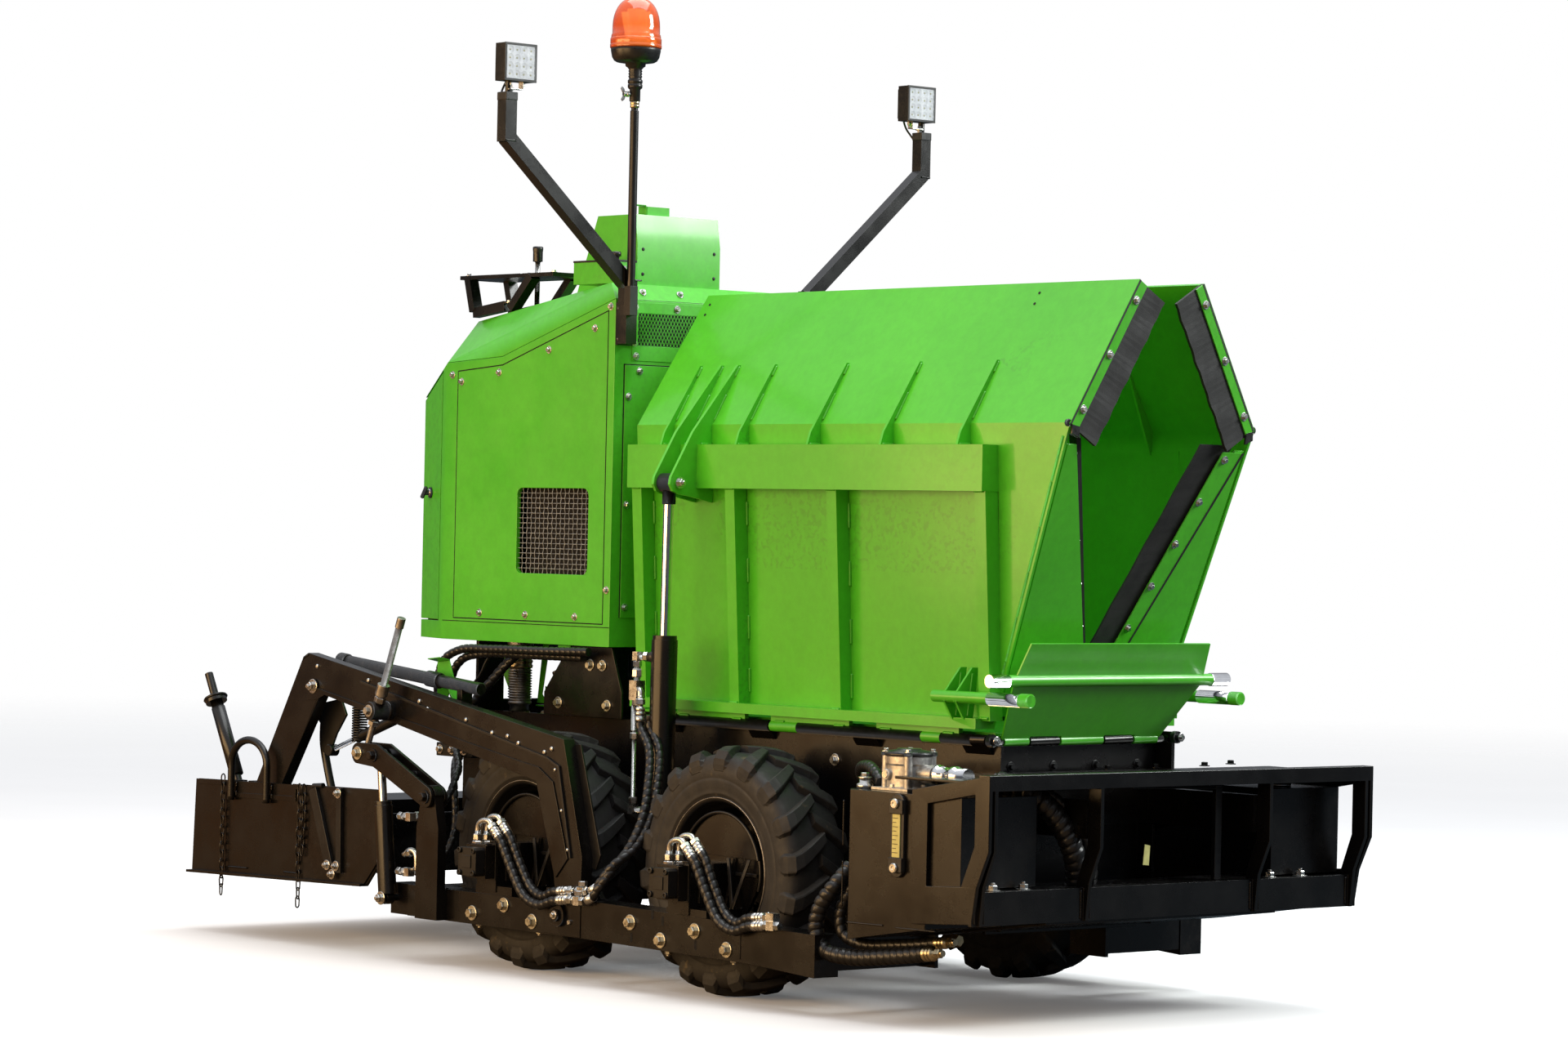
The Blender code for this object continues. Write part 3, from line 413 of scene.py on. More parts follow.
    def weld(self, p, q, r=0.0045, lumps=0.007):
        """A bead of weld with its ripples."""
        p, q = Vector(p), Vector(q)
        steps = max(4, int((q - p).length / 0.0035))
        k0 = random.random() * 6
        path = [p.lerp(q, i / steps) for i in range(steps + 1)]
        self.tube(path, r, 7, shape=lambda s, w: 0.85 + 0.20 * math.sin(s / lumps * 6.283 + k0)
                  + 0.10 * math.sin(s / 0.023 + k0))


def smooth_path(points, step):
    """Even points on one smooth curve through the given ones."""
    pts = [Vector(p) for p in points]
    ext = [pts[0] * 2 - pts[1]] + pts + [pts[-1] * 2 - pts[-2]]
    dense = []
    for i in range(1, len(ext) - 2):
        p0, p1, p2, p3 = ext[i - 1:i + 3]
        # centripetal Catmull-Rom
        t0 = 0.0
        t1 = t0 + max((p1 - p0).length, 1e-6) ** 0.5
        t2 = t1 + max((p2 - p1).length, 1e-6) ** 0.5
        t3 = t2 + max((p3 - p2).length, 1e-6) ** 0.5
        for k in range(24):
            t = t1 + (t2 - t1) * k / 24
            a1 = p0 * ((t1 - t) / (t1 - t0)) + p1 * ((t - t0) / (t1 - t0))
            a2 = p1 * ((t2 - t) / (t2 - t1)) + p2 * ((t - t1) / (t2 - t1))
            a3 = p2 * ((t3 - t) / (t3 - t2)) + p3 * ((t - t2) / (t3 - t2))
            b1 = a1 * ((t2 - t) / (t2 - t0)) + a2 * ((t - t0) / (t2 - t0))
            b2 = a2 * ((t3 - t) / (t3 - t1)) + a3 * ((t - t1) / (t3 - t1))
            dense.append(b1 * ((t2 - t) / (t2 - t1)) + b2 * ((t - t1) / (t2 - t1)))
    dense.append(pts[-1])
    total = sum((b - a).length for a, b in zip(dense, dense[1:]))
    count = max(2, int(round(total / step)))
    out, walked, k = [dense[0]], 0.0, 0
    for i in range(1, count):
        want = total * i / count
        while walked + (dense[k + 1] - dense[k]).length < want:
            walked += (dense[k + 1] - dense[k]).length
            k += 1
        seg = dense[k + 1] - dense[k]
        out.append(dense[k] + seg * ((want - walked) / max(seg.length, 1e-9)))
    return out + [dense[-1]]


def soften(ob, width, weld=0.00002):
    """Rounds the hard edges, and shades the flats flat."""
    if weld:
        w = ob.modifiers.new("join", "WELD")
        w.merge_threshold = weld
    b = ob.modifiers.new("edges", "BEVEL")
    b.width = width
    b.segments = 2
    b.limit_method = "ANGLE"
    b.angle_limit = math.radians(38)
    b.use_clamp_overlap = True
    b.miter_outer = "MITER_ARC"
    n = ob.modifiers.new("flats", "WEIGHTED_NORMAL")
    n.keep_sharp = True
    n.weight = 80


def dress_frame():
    """Materials and rounded edges for the CAD nodes that stay."""
    record = frame["record"]
    slots = {p["node"]: p["material_slot"] for p in record["subparts"]}
    wide = {"front_bumper": 0.003, "chassis": 0.002}
    for name, ob in frame["nodes"].items():
        ob.data.materials.clear()
        ob.data.materials.append(SLOT_LOOKS[slots[name]])
        for poly in ob.data.polygons:
            poly.use_smooth = True
            poly.material_index = 0
        if not name.endswith("_wheel"):
            soften(ob, wide.get(name, 0.0014))


dress_frame()


# ---------------------------------------------------------------- wheels
AXLE_Z, WHEEL_Y = 0.345, 0.5285
AXLES = (0.622, -0.242)                    # x of the front and the rear axle
# sidewall and crown of the casing: distance from the tyre's middle plane, radius
CASING = [(0.0975, 0.2070), (0.1010, 0.2130), (0.1030, 0.2150), (0.1020, 0.2190), (0.1045, 0.2300),
          (0.1065, 0.2480),
          (0.1068, 0.2560), (0.1058, 0.2575), (0.1068, 0.2600), (0.1065, 0.2780), (0.1040, 0.2930),
          (0.0985, 0.3060),
          (0.0900, 0.3160), (0.0750, 0.3220), (0.0500, 0.3250), (0.0250, 0.3260), (0.0, 0.3262)]
LUGS = 18


def tyre_kit(x, s):
    k = Kit()
    prof = [(r, s * t) for t, r in CASING] + [(r, -s * t) for t, r in reversed(CASING[:-1])]
    prof += [(0.2000, -s * 0.0930), (0.1960, -s * 0.06), (0.1960, s * 0.06), (0.2000, s * 0.0930), prof[0]]
    k.turned(prof, (x, s * WHEEL_Y, AXLE_Z), (0, 1, 0), 96)
    # chevron lugs: each runs from the middle to the shoulder and down the sidewall
    spine = [(-0.012, 0.3262, 0.0, 1.0), (0.018, 0.3261, 0.0, 1.0), (0.045, 0.3252, 0.0, 1.0),
             (0.068, 0.3230, 0.12, 1.0), (0.086, 0.3180, 0.40, 1.0), (0.0975, 0.3075, 0.80, 0.62),
             (0.1035, 0.2950, 0.97, 0.28), (0.1062, 0.2815, 1.0, 0.08)]
    centre = Vector((x, s * WHEEL_Y, AXLE_Z))
    for side in (-1, 1):
        for i in range(LUGS):
            turn = 2 * math.pi * (i + (0.5 if side > 0 else 0.0)) / LUGS
            rows = []
            for q, (t, r, lean, tall) in enumerate(spine):
                along = q / (len(spine) - 1)
                swing = turn + (0.02 + 0.20 * min(1.0, max(0.0, t + 0.012) / 0.098)) * (1 if s > 0 else -1)
                half = (0.0170 + 0.0105 * min(1.0, along * 1.5)) * (0.74 if q == len(spine) - 1 else 1.0)
                up = 0.0190 * tall
                base_t, base_r = t, r - 0.004
                top_t, top_r = t + up * math.sin(lean * 1.45), r + up * math.cos(lean * 1.45)
                row = []
                for a, (bt, br) in ((-1.35, (base_t, base_r)), (-0.92, (top_t, top_r - 0.0022)),
                                    (-0.74, (top_t, top_r)), (0.74, (top_t, top_r)),
                                    (0.92, (top_t, top_r - 0.0022)), (1.35, (base_t, base_r))):
                    w = swing + a * half / 0.34
                    row.append(centre + Vector((br * math.cos(w), side * bt, br * math.sin(w))))
                rows.append(row)
            verts = [p for row in rows for p in row]
            n, faces = 6, []
            for q in range(len(rows) - 1):
                for c in range(n):
                    d = (c + 1) % n
                    faces.append((q * n + c, q * n + d, (q + 1) * n + d, (q + 1) * n + c))
            faces += [tuple(range(n - 1, -1, -1)), tuple(range((len(rows) - 1) * n, len(rows) * n))]
            k.add(verts, faces)
    return k


def rim_kit(x, s):
    k = Kit()
    prof = [(0.0, -0.052), (0.060, -0.052), (0.075, -0.046), (0.125, -0.046), (0.135, -0.052), (0.160, -0.052),
            (0.168, -0.044), (0.170, -0.010), (0.172, 0.030), (0.176, 0.052), (0.189, 0.060), (0.191, 0.088),
            (0.1965, 0.0965), (0.2045, 0.0985), (0.2085, 0.0955), (0.2075, 0.0915), (0.2030, 0.0935),
            (0.1965, 0.0880), (0.1945, 0.060), (0.1800, 0.046), (0.1760, -0.030), (0.1780, -0.060),
            (0.1940, -0.070), (0.1965, -0.0925), (0.2040, -0.0970), (0.2075, -0.0935), (0.2035, -0.0900),
            (0.1990, -0.0880), (0.1950, -0.090), (0.190, -0.066), (0.168, -0.058), (0.0, -0.058)]
    k.turned([(r, s * t) for r, t in prof], (x, s * WHEEL_Y, AXLE_Z), (0, 1, 0), 72)
    for i in range(8):
        w = 2 * math.pi * i / 8
        p = Vector((x + 0.105 * math.cos(w), s * (WHEEL_Y - 0.046), AXLE_Z + 0.105 * math.sin(w)))
        k.bolt(p, (0, s, 0), 0.019)
        k.bolt(Vector((p.x, s * (WHEEL_Y - 0.058), p.z)), (0, -s, 0), 0.019)
    k.turned([(0, 0), (0.048, 0), (0.052, 0.004), (0.052, 0.024), (0.044, 0.030), (0, 0.030)],
             (x, s * (WHEEL_Y - 0.058), AXLE_Z), (0, -s, 0), 32)
    return k


def wheels():
    for s, name in SIDES:
        for end, x in zip(("front", "rear"), AXLES):
            body = "%s_%s_wheel" % (end, name)
            tyre = tyre_kit(x, s).piece("%s_%s_tyre" % (end, name), TYRE, body)
            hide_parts(body)
            rim_kit(x, s).piece("%s_%s_rim" % (end, name), SATIN, body)


wheels()


# ---------------------------------------------------------------- hopper
FOLD, CROWN = (0.343, 1.578), (0.116, 1.964)   # |y|, z of the wing's fold and of its upper edge
CYL_X = 0.195                               # hopper cylinders
CYL_IN, CYL_OUT = CYL_X - 0.042, CYL_X + 0.032
EYE_Y, EYE_Z = 0.470, 1.414                 # eye at the cylinder rod's end
HINGE_Y, HINGE_Z = 0.350, 0.7385            # pin under the wing


def mouth_x(z):
    return 1.381 + 0.305 * (z - 0.784) / 0.794


def wall_y(z):
    return 0.304 + 0.039 * (z - 0.784) / 0.794


FLAP_OUT = Vector((0.9335, 0.0, -0.3586))


def flap_point(y, z, proud):
    return Vector((mouth_x(z), y, z)) + FLAP_OUT * proud


def upper_mouth(s, name):
    """Flange with its bolts, and the rubber edge behind it, on the upper panel."""
    a, b = Vector((1.686, s * FOLD[0], FOLD[1])), Vector((1.706, s * CROWN[0], CROWN[1]))
    n = Vector((0, -s * 0.862, -0.507))
    k = Kit()
    k.slab([a - X * 0.0005, b - X * 0.0005, b + n * 0.027 - X * 0.0005, a + n * 0.027 - X * 0.0005],
           (-0.004, 0, 0))
    k.piece("%s_mouth_flange" % name, GREEN, "%s_wing" % name, 0.0008)
    k = Kit()
    k.slab([a - n * 0.0065 + X * 0.0002, b - n * 0.0065 + X * 0.0002, b - n * 0.0005 + X * 0.0002,
            a - n * 0.0005 + X * 0.0002],
           (-0.012, 0, 0))
    k.piece("%s_mouth_seam" % name, EDGE, "%s_wing" % name)
    k = Kit()
    rows = 26
    for i in range(rows):
        p, q = a.lerp(b, i / rows), a.lerp(b, (i + 1) / rows)
        wave = 0.0012 * math.sin(i * 0.9)
        wave2 = 0.0012 * math.sin((i + 1) * 0.9)
        out, out2 = 0.108 + 0.0015 * math.sin(i * 1.7), 0.108 + 0.0015 * math.sin((i + 1) * 1.7)
        k.slab([p + n * 0.004 - X * 0.005, q + n * 0.004 - X * 0.005,
                q + n * out2 - X * (0.005 + wave2), p + n * out - X * (0.005 + wave)], (-0.009, 0, 0))
    k.piece("%s_mouth_rubber" % name, EDGE, "%s_wing" % name)
    k = Kit()
    for f in (0.12, 0.50, 0.88):
        k.bolt(a.lerp(b, f) + n * 0.013 - X * 0.0005, X, 0.013)
    k.piece("%s_mouth_bolts" % name, ZINC, "%s_wing" % name)
    k = Kit()
    # clip where the two rubbers meet at the fold
    k.slab([a + n * 0.000 + X * 0.001, a + n * 0.030 + X * 0.001 + Z * 0.010,
            a + n * 0.034 - Z * 0.018 + X * 0.001,
            a - Z * 0.024 + X * 0.001], (-0.006, 0, 0))
    k.rod(a + Vector((-0.012, s * 0.006, 0.004)), a + Vector((-0.002, s * 0.008, 0.004)), 0.010, 16, 0.002)
    k.piece("%s_fold_clip" % name, PLASTIC, "%s_wing" % name)


def lower_mouth(s, name):
    """Bolted strip and rubber edge on the corner flap."""
    body = "%s_corner_flap" % name
    if s < 0:
        # the near flap's rubber is folded back behind it: only its edge and screws show
        k = Kit()
        k.slab([flap_point(s * 0.302, 1.540, -0.0095), flap_point(s * 0.286, 1.540, -0.0095),
                flap_point(s * 0.020, 0.935, -0.0095), flap_point(s * 0.040, 0.935, -0.0095)],
                -FLAP_OUT * 0.030)
        k.piece("%s_flap_rubber" % name, EDGE, body)
        k = Kit()
        for z, y in ((1.500, 0.288), (1.385, 0.238), (1.270, 0.184), (1.155, 0.130), (1.040, 0.078)):
            k.turned([(0, 0), (0.0045, 0), (0.0040, 0.0025), (0, 0.0035)], flap_point(s * y, z, -0.0095),
                     FLAP_OUT, 12)
        k.piece("%s_flap_bolts" % name, ZINC, body)
        return
    k = Kit()
    k.slab([flap_point(s * 0.3330, 1.520, 0.0010), flap_point(s * 0.3255, 1.520, 0.0010),
            flap_point(s * 0.0985, 0.990, 0.0010), flap_point(s * 0.1050, 0.990, 0.0010)], FLAP_OUT * 0.0012)
    k.piece("%s_flap_seam" % name, EDGE, body)
    k = Kit()
    k.slab([flap_point(s * 0.325, 1.520, -0.0032), flap_point(s * 0.252, 1.520, -0.0032),
            flap_point(s * 0.052, 0.990, -0.0032), flap_point(s * 0.098, 0.990, -0.0032)], FLAP_OUT * 0.004)
    k.piece("%s_flap_strip" % name, GREEN, body, 0.0008)
    k = Kit()
    for z, y in ((1.500, 0.265), (1.385, 0.215), (1.270, 0.172), (1.155, 0.127), (1.040, 0.086)):
        k.bolt(flap_point(s * y, z, 0.0006), FLAP_OUT, 0.013)
    k.piece("%s_flap_bolts" % name, ZINC, body)
    deep, reach, rows = -0.0095, -0.046, 24
    k = Kit()
    for i in range(rows):
        f0, f1 = i / rows, (i + 1) / rows
        z0, z1 = 1.535 + (0.935 - 1.535) * f0, 1.535 + (0.935 - 1.535) * f1
        o0, o1 = 0.292 - 0.205 * f0, 0.292 - 0.205 * f1
        i0, i1 = 0.170 + (reach - 0.170) * f0, 0.170 + (reach - 0.170) * f1
        w0, w1 = 0.0010 * math.sin(i), 0.0010 * math.sin(i + 1)
        k.slab([flap_point(s * o0, z0, deep), flap_point(s * i0, z0, deep + w0),
                flap_point(s * i1, z1, deep + w1), flap_point(s * o1, z1, deep)], -FLAP_OUT * 0.006)
    k.piece("%s_flap_rubber" % name, EDGE, body)


def flap_hinge(s, name):
    """Slanted hinge of the corner flap."""
    body = "%s_wing" % name
    k = Kit()
    for i in range(6):
        z0 = 0.830 + i * 0.120
        p = [Vector((mouth_x(z) - 0.014, s * (wall_y(z) + 0.0085), z)) for z in (z0, z0 + 0.1175)]
        k.rod(p[0], p[1], 0.0036, 14, 0.0008)
    k.piece("%s_flap_hinge" % name, GREEN, body)


def wing_welds(s, name):
    """Stitched welds beside the posts, round the beam and the gussets."""
    body = "%s_wing" % name
    k = Kit()
    for x in (-0.026, 0.387, 0.819, 1.369):
        for z in (1.33, 1.17, 1.01, 0.86):
            k.weld((x, s * (wall_y(z - 0.03) + 0.0105), z - 0.034),
                   (x, s * (wall_y(z + 0.03) + 0.0105), z + 0.034))
    for x in (0.060, 0.390, 0.695, 0.995, 1.300, CYL_IN, CYL_OUT):
        for side in (-1, 9):
            xx = x + side * 0.001
            k.weld((xx, s * 0.392, 1.5255), (xx, s * 0.352, 1.5255), 0.0045)
            k.weld((xx, s * 0.3435, 1.594), (xx, s * 0.300, 1.668), 0.004)
            k.weld((xx, s * 0.268, 1.722), (xx, s * 0.252, 1.750), 0.004)
    for x in (-0.070, 0.345, 0.777, 1.370):
        k.weld((x + 0.002, s * 0.3905, 1.4005), (x + 0.036, s * 0.3905, 1.4005), 0.0045)
        k.weld((x + 0.002, s * 0.356, 0.7965), (x + 0.036, s * 0.356, 0.7965), 0.0045)
    for x in (1.285, 1.330):
        for xx in (x - 0.0005, x + 0.0075):
            k.weld((xx, s * 0.368, 0.800), (xx, s * 0.352, 0.915), 0.0035)
            k.weld((xx, s * 0.409, 0.838), (xx, s * 0.409, 0.862), 0.0035)
    for x0, x1 in ((0.130, 0.170), (0.360, 0.400), (0.545, 0.585), (0.795, 0.835), (0.985, 1.025),
                   (1.235, 1.275)):
        k.weld((x0, s * 0.358, 0.752), (x1, s * 0.358, 0.752), 0.004)
    k.piece("%s_wing_welds" % name, GREEN, body)


def wing_pins(s, name):
    """Pin under the apron bar, the cylinder rod's eye with its pin, and dark plugs of painted shade in the small
    holes at the crown.
    """
    body = "%s_wing" % name
    # sleeve and cap on the pin under the apron bar
    k = Kit()
    k.rod((1.455, s * 0.398, 0.852), (1.574, s * 0.398, 0.852), 0.0182, 28, 0.001)
    k.piece("%s_pin_sleeve" % name, CHROME, body)
    k = Kit()
    k.rod((1.573, s * 0.398, 0.852), (1.6115, s * 0.398, 0.852), 0.0186, 28, 0.003)
    k.piece("%s_pin_cap" % name, GREEN, body)
    # rod eye pin with its bolt head and nut
    k = Kit()
    for x, d in ((CYL_X + 0.0475, 1), (CYL_X - 0.0475, -1)):
        k.rod((x, s * EYE_Y, EYE_Z), (x + d * 0.003, s * EYE_Y, EYE_Z), 0.0165, 24)
        k.bolt((x + d * 0.003, s * EYE_Y, EYE_Z), (d, 0, 0), 0.021, False, True)
    k.piece("%s_rod_pin" % name, ZINC, body)
    # black eye at the rod's end, with its neck
    k = Kit()
    k.rod((CYL_X - 0.0276, s * EYE_Y, EYE_Z), (CYL_X + 0.0276, s * EYE_Y, EYE_Z), 0.0268, 32, 0.002)
    k.rod((CYL_X, s * 0.470, 1.392), (CYL_X, s * 0.470, 1.352), 0.0195, 24, 0.002)
    k.piece("%s_rod_eye" % name, SATIN, "%s_wing_rod" % name)
    # painted shade: dark plugs inside the small holes at the crown
    k = Kit()
    for x in (1.345, -0.035):
        for z in (1.935, 1.905):
            y = CROWN[0] + (1.964 - z) * 0.588
            k.rod((x, s * (y + 0.0070), z + 0.0045), (x, s * (y + 0.0078), z + 0.005), 0.0042, 12)
    k.piece("%s_wing_hole_shade" % name, PAINTED_SHADE, body)


def apron_trim():
    k = Kit()
    for s in (-1, 1):
        k.rod((1.505, s * 0.384, 0.9005), (1.505, s * 0.4505, 0.9005), 0.0182, 28, 0.001)
    k.piece("apron_sleeves", CHROME, "apron")
    k = Kit()
    for i in range(9):
        y = -0.32 + 0.08 * i
        k.weld((1.5095, y - 0.014, 0.9185), (1.5095, y + 0.014, 0.9185), 0.004)
    for y0, y1 in ((-0.285, -0.205), (-0.07, 0.07), (0.205, 0.285)):
        k.weld((1.3995, y0, 0.7455), (1.3995, y1, 0.7455), 0.0035)
    k.piece("apron_welds", GREEN, "apron")
    k = Kit()
    for s in (-1, 1):
        k.rod((1.392, s * 0.2905, 0.734), (1.392, s * 0.318, 0.734), 0.0095, 18, 0.001)
    k.piece("apron_pin_ends", SATIN, "apron")
    # black rod that shows between the green knuckles of the wings' bottom hinges
    k = Kit()
    for s in (-1, 1):
        for x0, x1 in ((-0.055, 0.520), (0.640, 1.150), (1.225, 1.345)):
            k.rod((x0, s * 0.350, 0.738), (x1, s * 0.350, 0.738), 0.0162, 22, 0.001)
    k.piece("hinge_rods", SATIN, "chassis")
    k = Kit()
    for y in (-0.24, -0.08, 0.08, 0.24):
        k.bolt((1.3745, y, 0.665), X, 0.015)
    k.piece("front_plate_bolts", SATIN, "chassis")
    # collars at the front ends of the wings' hinge pins, with their bolts
    k = Kit()
    for s in (-1, 1):
        k.rod((1.398, s * HINGE_Y, HINGE_Z), (1.434, s * HINGE_Y, HINGE_Z), 0.0100, 18, 0.001)
        k.rod((1.404, s * HINGE_Y, HINGE_Z), (1.424, s * HINGE_Y, HINGE_Z), 0.0170, 24, 0.002)
    k.piece("hinge_collars", SATIN, "chassis")
    k = Kit()
    for s in (-1, 1):
        k.bolt((1.434, s * HINGE_Y, HINGE_Z), X, 0.013)
    k.piece("hinge_collar_bolts", ZINC, "chassis")


for s, name in SIDES:
    upper_mouth(s, name)
    lower_mouth(s, name)
    flap_hinge(s, name)
    wing_welds(s, name)
    wing_pins(s, name)
apron_trim()


# ---------------------------------------------------------------- cabinet
CAB_Y, CAB_X1 = 0.368, -0.190


def perforated(name, y0, y1, z0, z1, x, thick, pitch_y, pitch_z, hole, material, body):
    """Thin sheet in the YZ plane with staggered round holes cut through it."""
    rows = int(round((z1 - z0) / pitch_z))
    cols = int(round((y1 - y0) / pitch_y))
    k = Kit()
    corner = 8
    for r in range(rows):
        shift = 0.5 if r % 2 else 0.0
        for c in range(cols):
            cy = y0 + (c + 0.5 + shift) * pitch_y
            cz = z0 + (r + 0.5) * pitch_z
            square, circle = [], []
            for i in range(corner):
                w = 2 * math.pi * (i + 0.5) / corner
                m = max(abs(math.cos(w)), abs(math.sin(w)))
                square.append((cy + math.cos(w) / m * pitch_y / 2, cz + math.sin(w) / m * pitch_z / 2))
                circle.append((cy + math.cos(w) * hole, cz + math.sin(w) * hole))
            verts = [(x + t, p[0], p[1]) for t in (thick, 0) for ring in (square, circle) for p in ring]
            n = corner
            faces = []
            for i in range(n):
                j = (i + 1) % n
                faces.append((i, j, n + j, n + i))
                faces.append((n + i, n + j, 3 * n + j, 3 * n + i))
                faces.append((3 * n + i, 3 * n + j, 2 * n + j, 2 * n + i))
                faces.append((2 * n + i, 2 * n + j, j, i))
            k.add(verts, faces)
    return k.piece(name, material, body)


def front_vent():
    """Punched sheet with a dark sheet of painted shade behind its holes, and the plates round and below it."""
    perforated("vent_sheet", -0.284, 0.278, 1.8165, 1.9125, CAB_X1 + 0.0012, 0.0010, 0.01245, 0.01067, 0.0048,
               GREEN, "chassis")
    # dark sheet of painted shade behind the punched holes
    k = Kit()
    k.block(CAB_X1 + 0.0002, CAB_X1 + 0.0008, -0.284, 0.284, 1.8165, 1.9125)
    k.piece("vent_painted_shade", PAINTED_SHADE, "chassis")
    k = Kit()
    # frame round the perforated field, and the bolted lower panel
    k.block(CAB_X1 + 0.0003, CAB_X1 + 0.0022, -0.305, 0.305, 1.9125, 1.944)
    k.block(CAB_X1 + 0.0003, CAB_X1 + 0.0022, -0.305, 0.305, 1.7720, 1.8165)
    k.block(CAB_X1 + 0.0003, CAB_X1 + 0.0022, -0.305, -0.284, 1.8166, 1.9124)
    k.block(CAB_X1 + 0.0003, CAB_X1 + 0.0022, 0.2845, 0.305, 1.8166, 1.9124)
    k.block(CAB_X1 + 0.0003, CAB_X1 + 0.0034, -0.330, 0.330, 1.020, 1.7585)
    k.piece("front_panel", GREEN, "chassis", 0.0006)


def cabinet_bolts():
    k = Kit()
    for y, z in ((-0.296, 1.929), (-0.137, 1.929), (0.137, 1.929), (0.296, 1.929), (-0.290, 1.785),
                 (0.290, 1.785)):
        k.bolt((CAB_X1 + 0.0022, y, z), X, 0.0125)
    for y, z in ((-0.276, 1.742), (-0.316, 1.666), (-0.316, 1.35), (0.316, 1.666), (0.276, 1.742),
                 (0.316, 1.35),
                 (-0.316, 1.05), (0.316, 1.05), (0.0, 1.742)):
        k.bolt((CAB_X1 + 0.0034, y, z), X, 0.0125)
    slope = Vector((0.813, 0, 0.582))
    for y in (-0.255, -0.113, 0.099, 0.255):
        k.bolt(Vector((-0.2055, y, 1.9742)), slope, 0.0125)
    for s in (-1, 1):
        for x, z in ((-0.283, 1.866), (-0.500, 1.8060), (-0.741, 1.742), (-0.926, 1.716), (-0.814, 1.018),
                     (-0.589, 1.018), (-0.352, 1.018)):
            k.bolt((x, s * CAB_Y, z), (0, s, 0), 0.0125)
        k.bolt((-0.211, s * CAB_Y, 1.928), (0, s, 0), 0.0125)
        k.bolt((-0.972, s * CAB_Y, 1.737), (0, s, 0), 0.0125)
        k.bolt((-0.206, s * CAB_Y, 1.10), (0, s, 0), 0.0125)
    k.piece("cabinet_bolts", ZINC, "chassis")


def cabinet_seam_shade():
    """Painted shade: dark strips along the seams round the side panels, the front panel and the sill."""
    k = Kit()
    panel = [(-0.945, 1.000), (-0.222, 1.000), (-0.222, 1.916), (-0.725, 1.764), (-0.945, 1.748)]
    for s in (-1, 1):
        for (xa, za), (xb, zb) in zip(panel, panel[1:] + panel[:1]):
            d = Vector((xb - xa, 0, zb - za)).normalized()
            n = Vector((-d.z, 0, d.x)) * 0.0016
            a, b = Vector((xa, s * 0.3681, za)), Vector((xb, s * 0.3681, zb))
            k.slab([a - n, b - n, b + n, a + n], (0, s * 0.0003, 0))
    for y0, y1, z0, z1 in ((-0.3335, -0.3305, 1.020, 1.7610), (-0.3335, 0.3335, 1.7587, 1.7617),
                           (0.3305, 0.3335, 1.020, 1.7610)):
        k.block(CAB_X1 + 0.0003, CAB_X1 + 0.0012, y0, y1, z0, z1)
    for s in (-1, 1):
        k.sheet([(-1.0, 0.9895), (-0.191, 0.9895), (-0.191, 0.9918), (-1.0, 0.9918)], s * 0.3682, s * 0.0004)
    k.piece("seam_painted_shade", PAINTED_SHADE, "chassis")


def wire_vent():
    """Crimped wire mesh behind the side vent, a dark sheet of painted shade behind it, and the opening's rounded
    corners.
    """
    x0, x1, z0, z1 = -0.640, -0.299, 1.142, 1.396
    k = Kit()
    across, up = 17, 17
    px, pz = (x1 - x0) / across, (z1 - z0) / up
    y = -(CAB_Y - 0.0085)
    wire = 0.0012
    for i in range(1, across):
        x = x0 + i * px
        path = []
        for j in range(up * 4 + 1):
            z = z0 - 0.004 + (z1 - z0 + 0.008) * j / (up * 4)
            path.append((x, y + 0.0012 * math.cos(math.pi * (z - z0) / pz) * (1 if i % 2 else -1), z))
        k.tube(path, wire, 5)
    for j in range(1, up):
        z = z0 + j * pz
        path = []
        for i in range(across * 4 + 1):
            x = x0 - 0.004 + (x1 - x0 + 0.008) * i / (across * 4)
            path.append((x, y - 0.0012 * math.cos(math.pi * (x - x0) / px) * (1 if j % 2 else -1), z))
        k.tube(path, wire, 5)
    k.piece("vent_wires", WIRE, "chassis")
    # dark sheet of painted shade behind the mesh
    k = Kit()
    k.block(x0 - 0.006, x1 + 0.006, y + 0.034, y + 0.037, z0 - 0.006, z1 + 0.006)
    k.piece("side_vent_painted_shade", PAINTED_SHADE, "chassis")
    k = Kit()
    r = 0.022
    for cx, cz, sx, sz in ((x0, z0, 1, 1), (x1, z0, -1, 1), (x1, z1, -1, -1), (x0, z1, 1, -1)):
        pts = [(cx - sx * 0.0004, -CAB_Y, cz - sz * 0.0004), (cx + sx * r, -CAB_Y, cz - sz * 0.0004)]
        for i in range(7):
            w = math.pi / 2 * i / 6
            pts.append((cx + sx * r * (1 - math.sin(w)), -CAB_Y, cz + sz * r * (1 - math.cos(w))))
        pts.append((cx - sx * 0.0004, -CAB_Y, cz + sz * r))
        k.slab(pts, (0, 0.014, 0))
    k.piece("vent_corners", GREEN, "chassis")


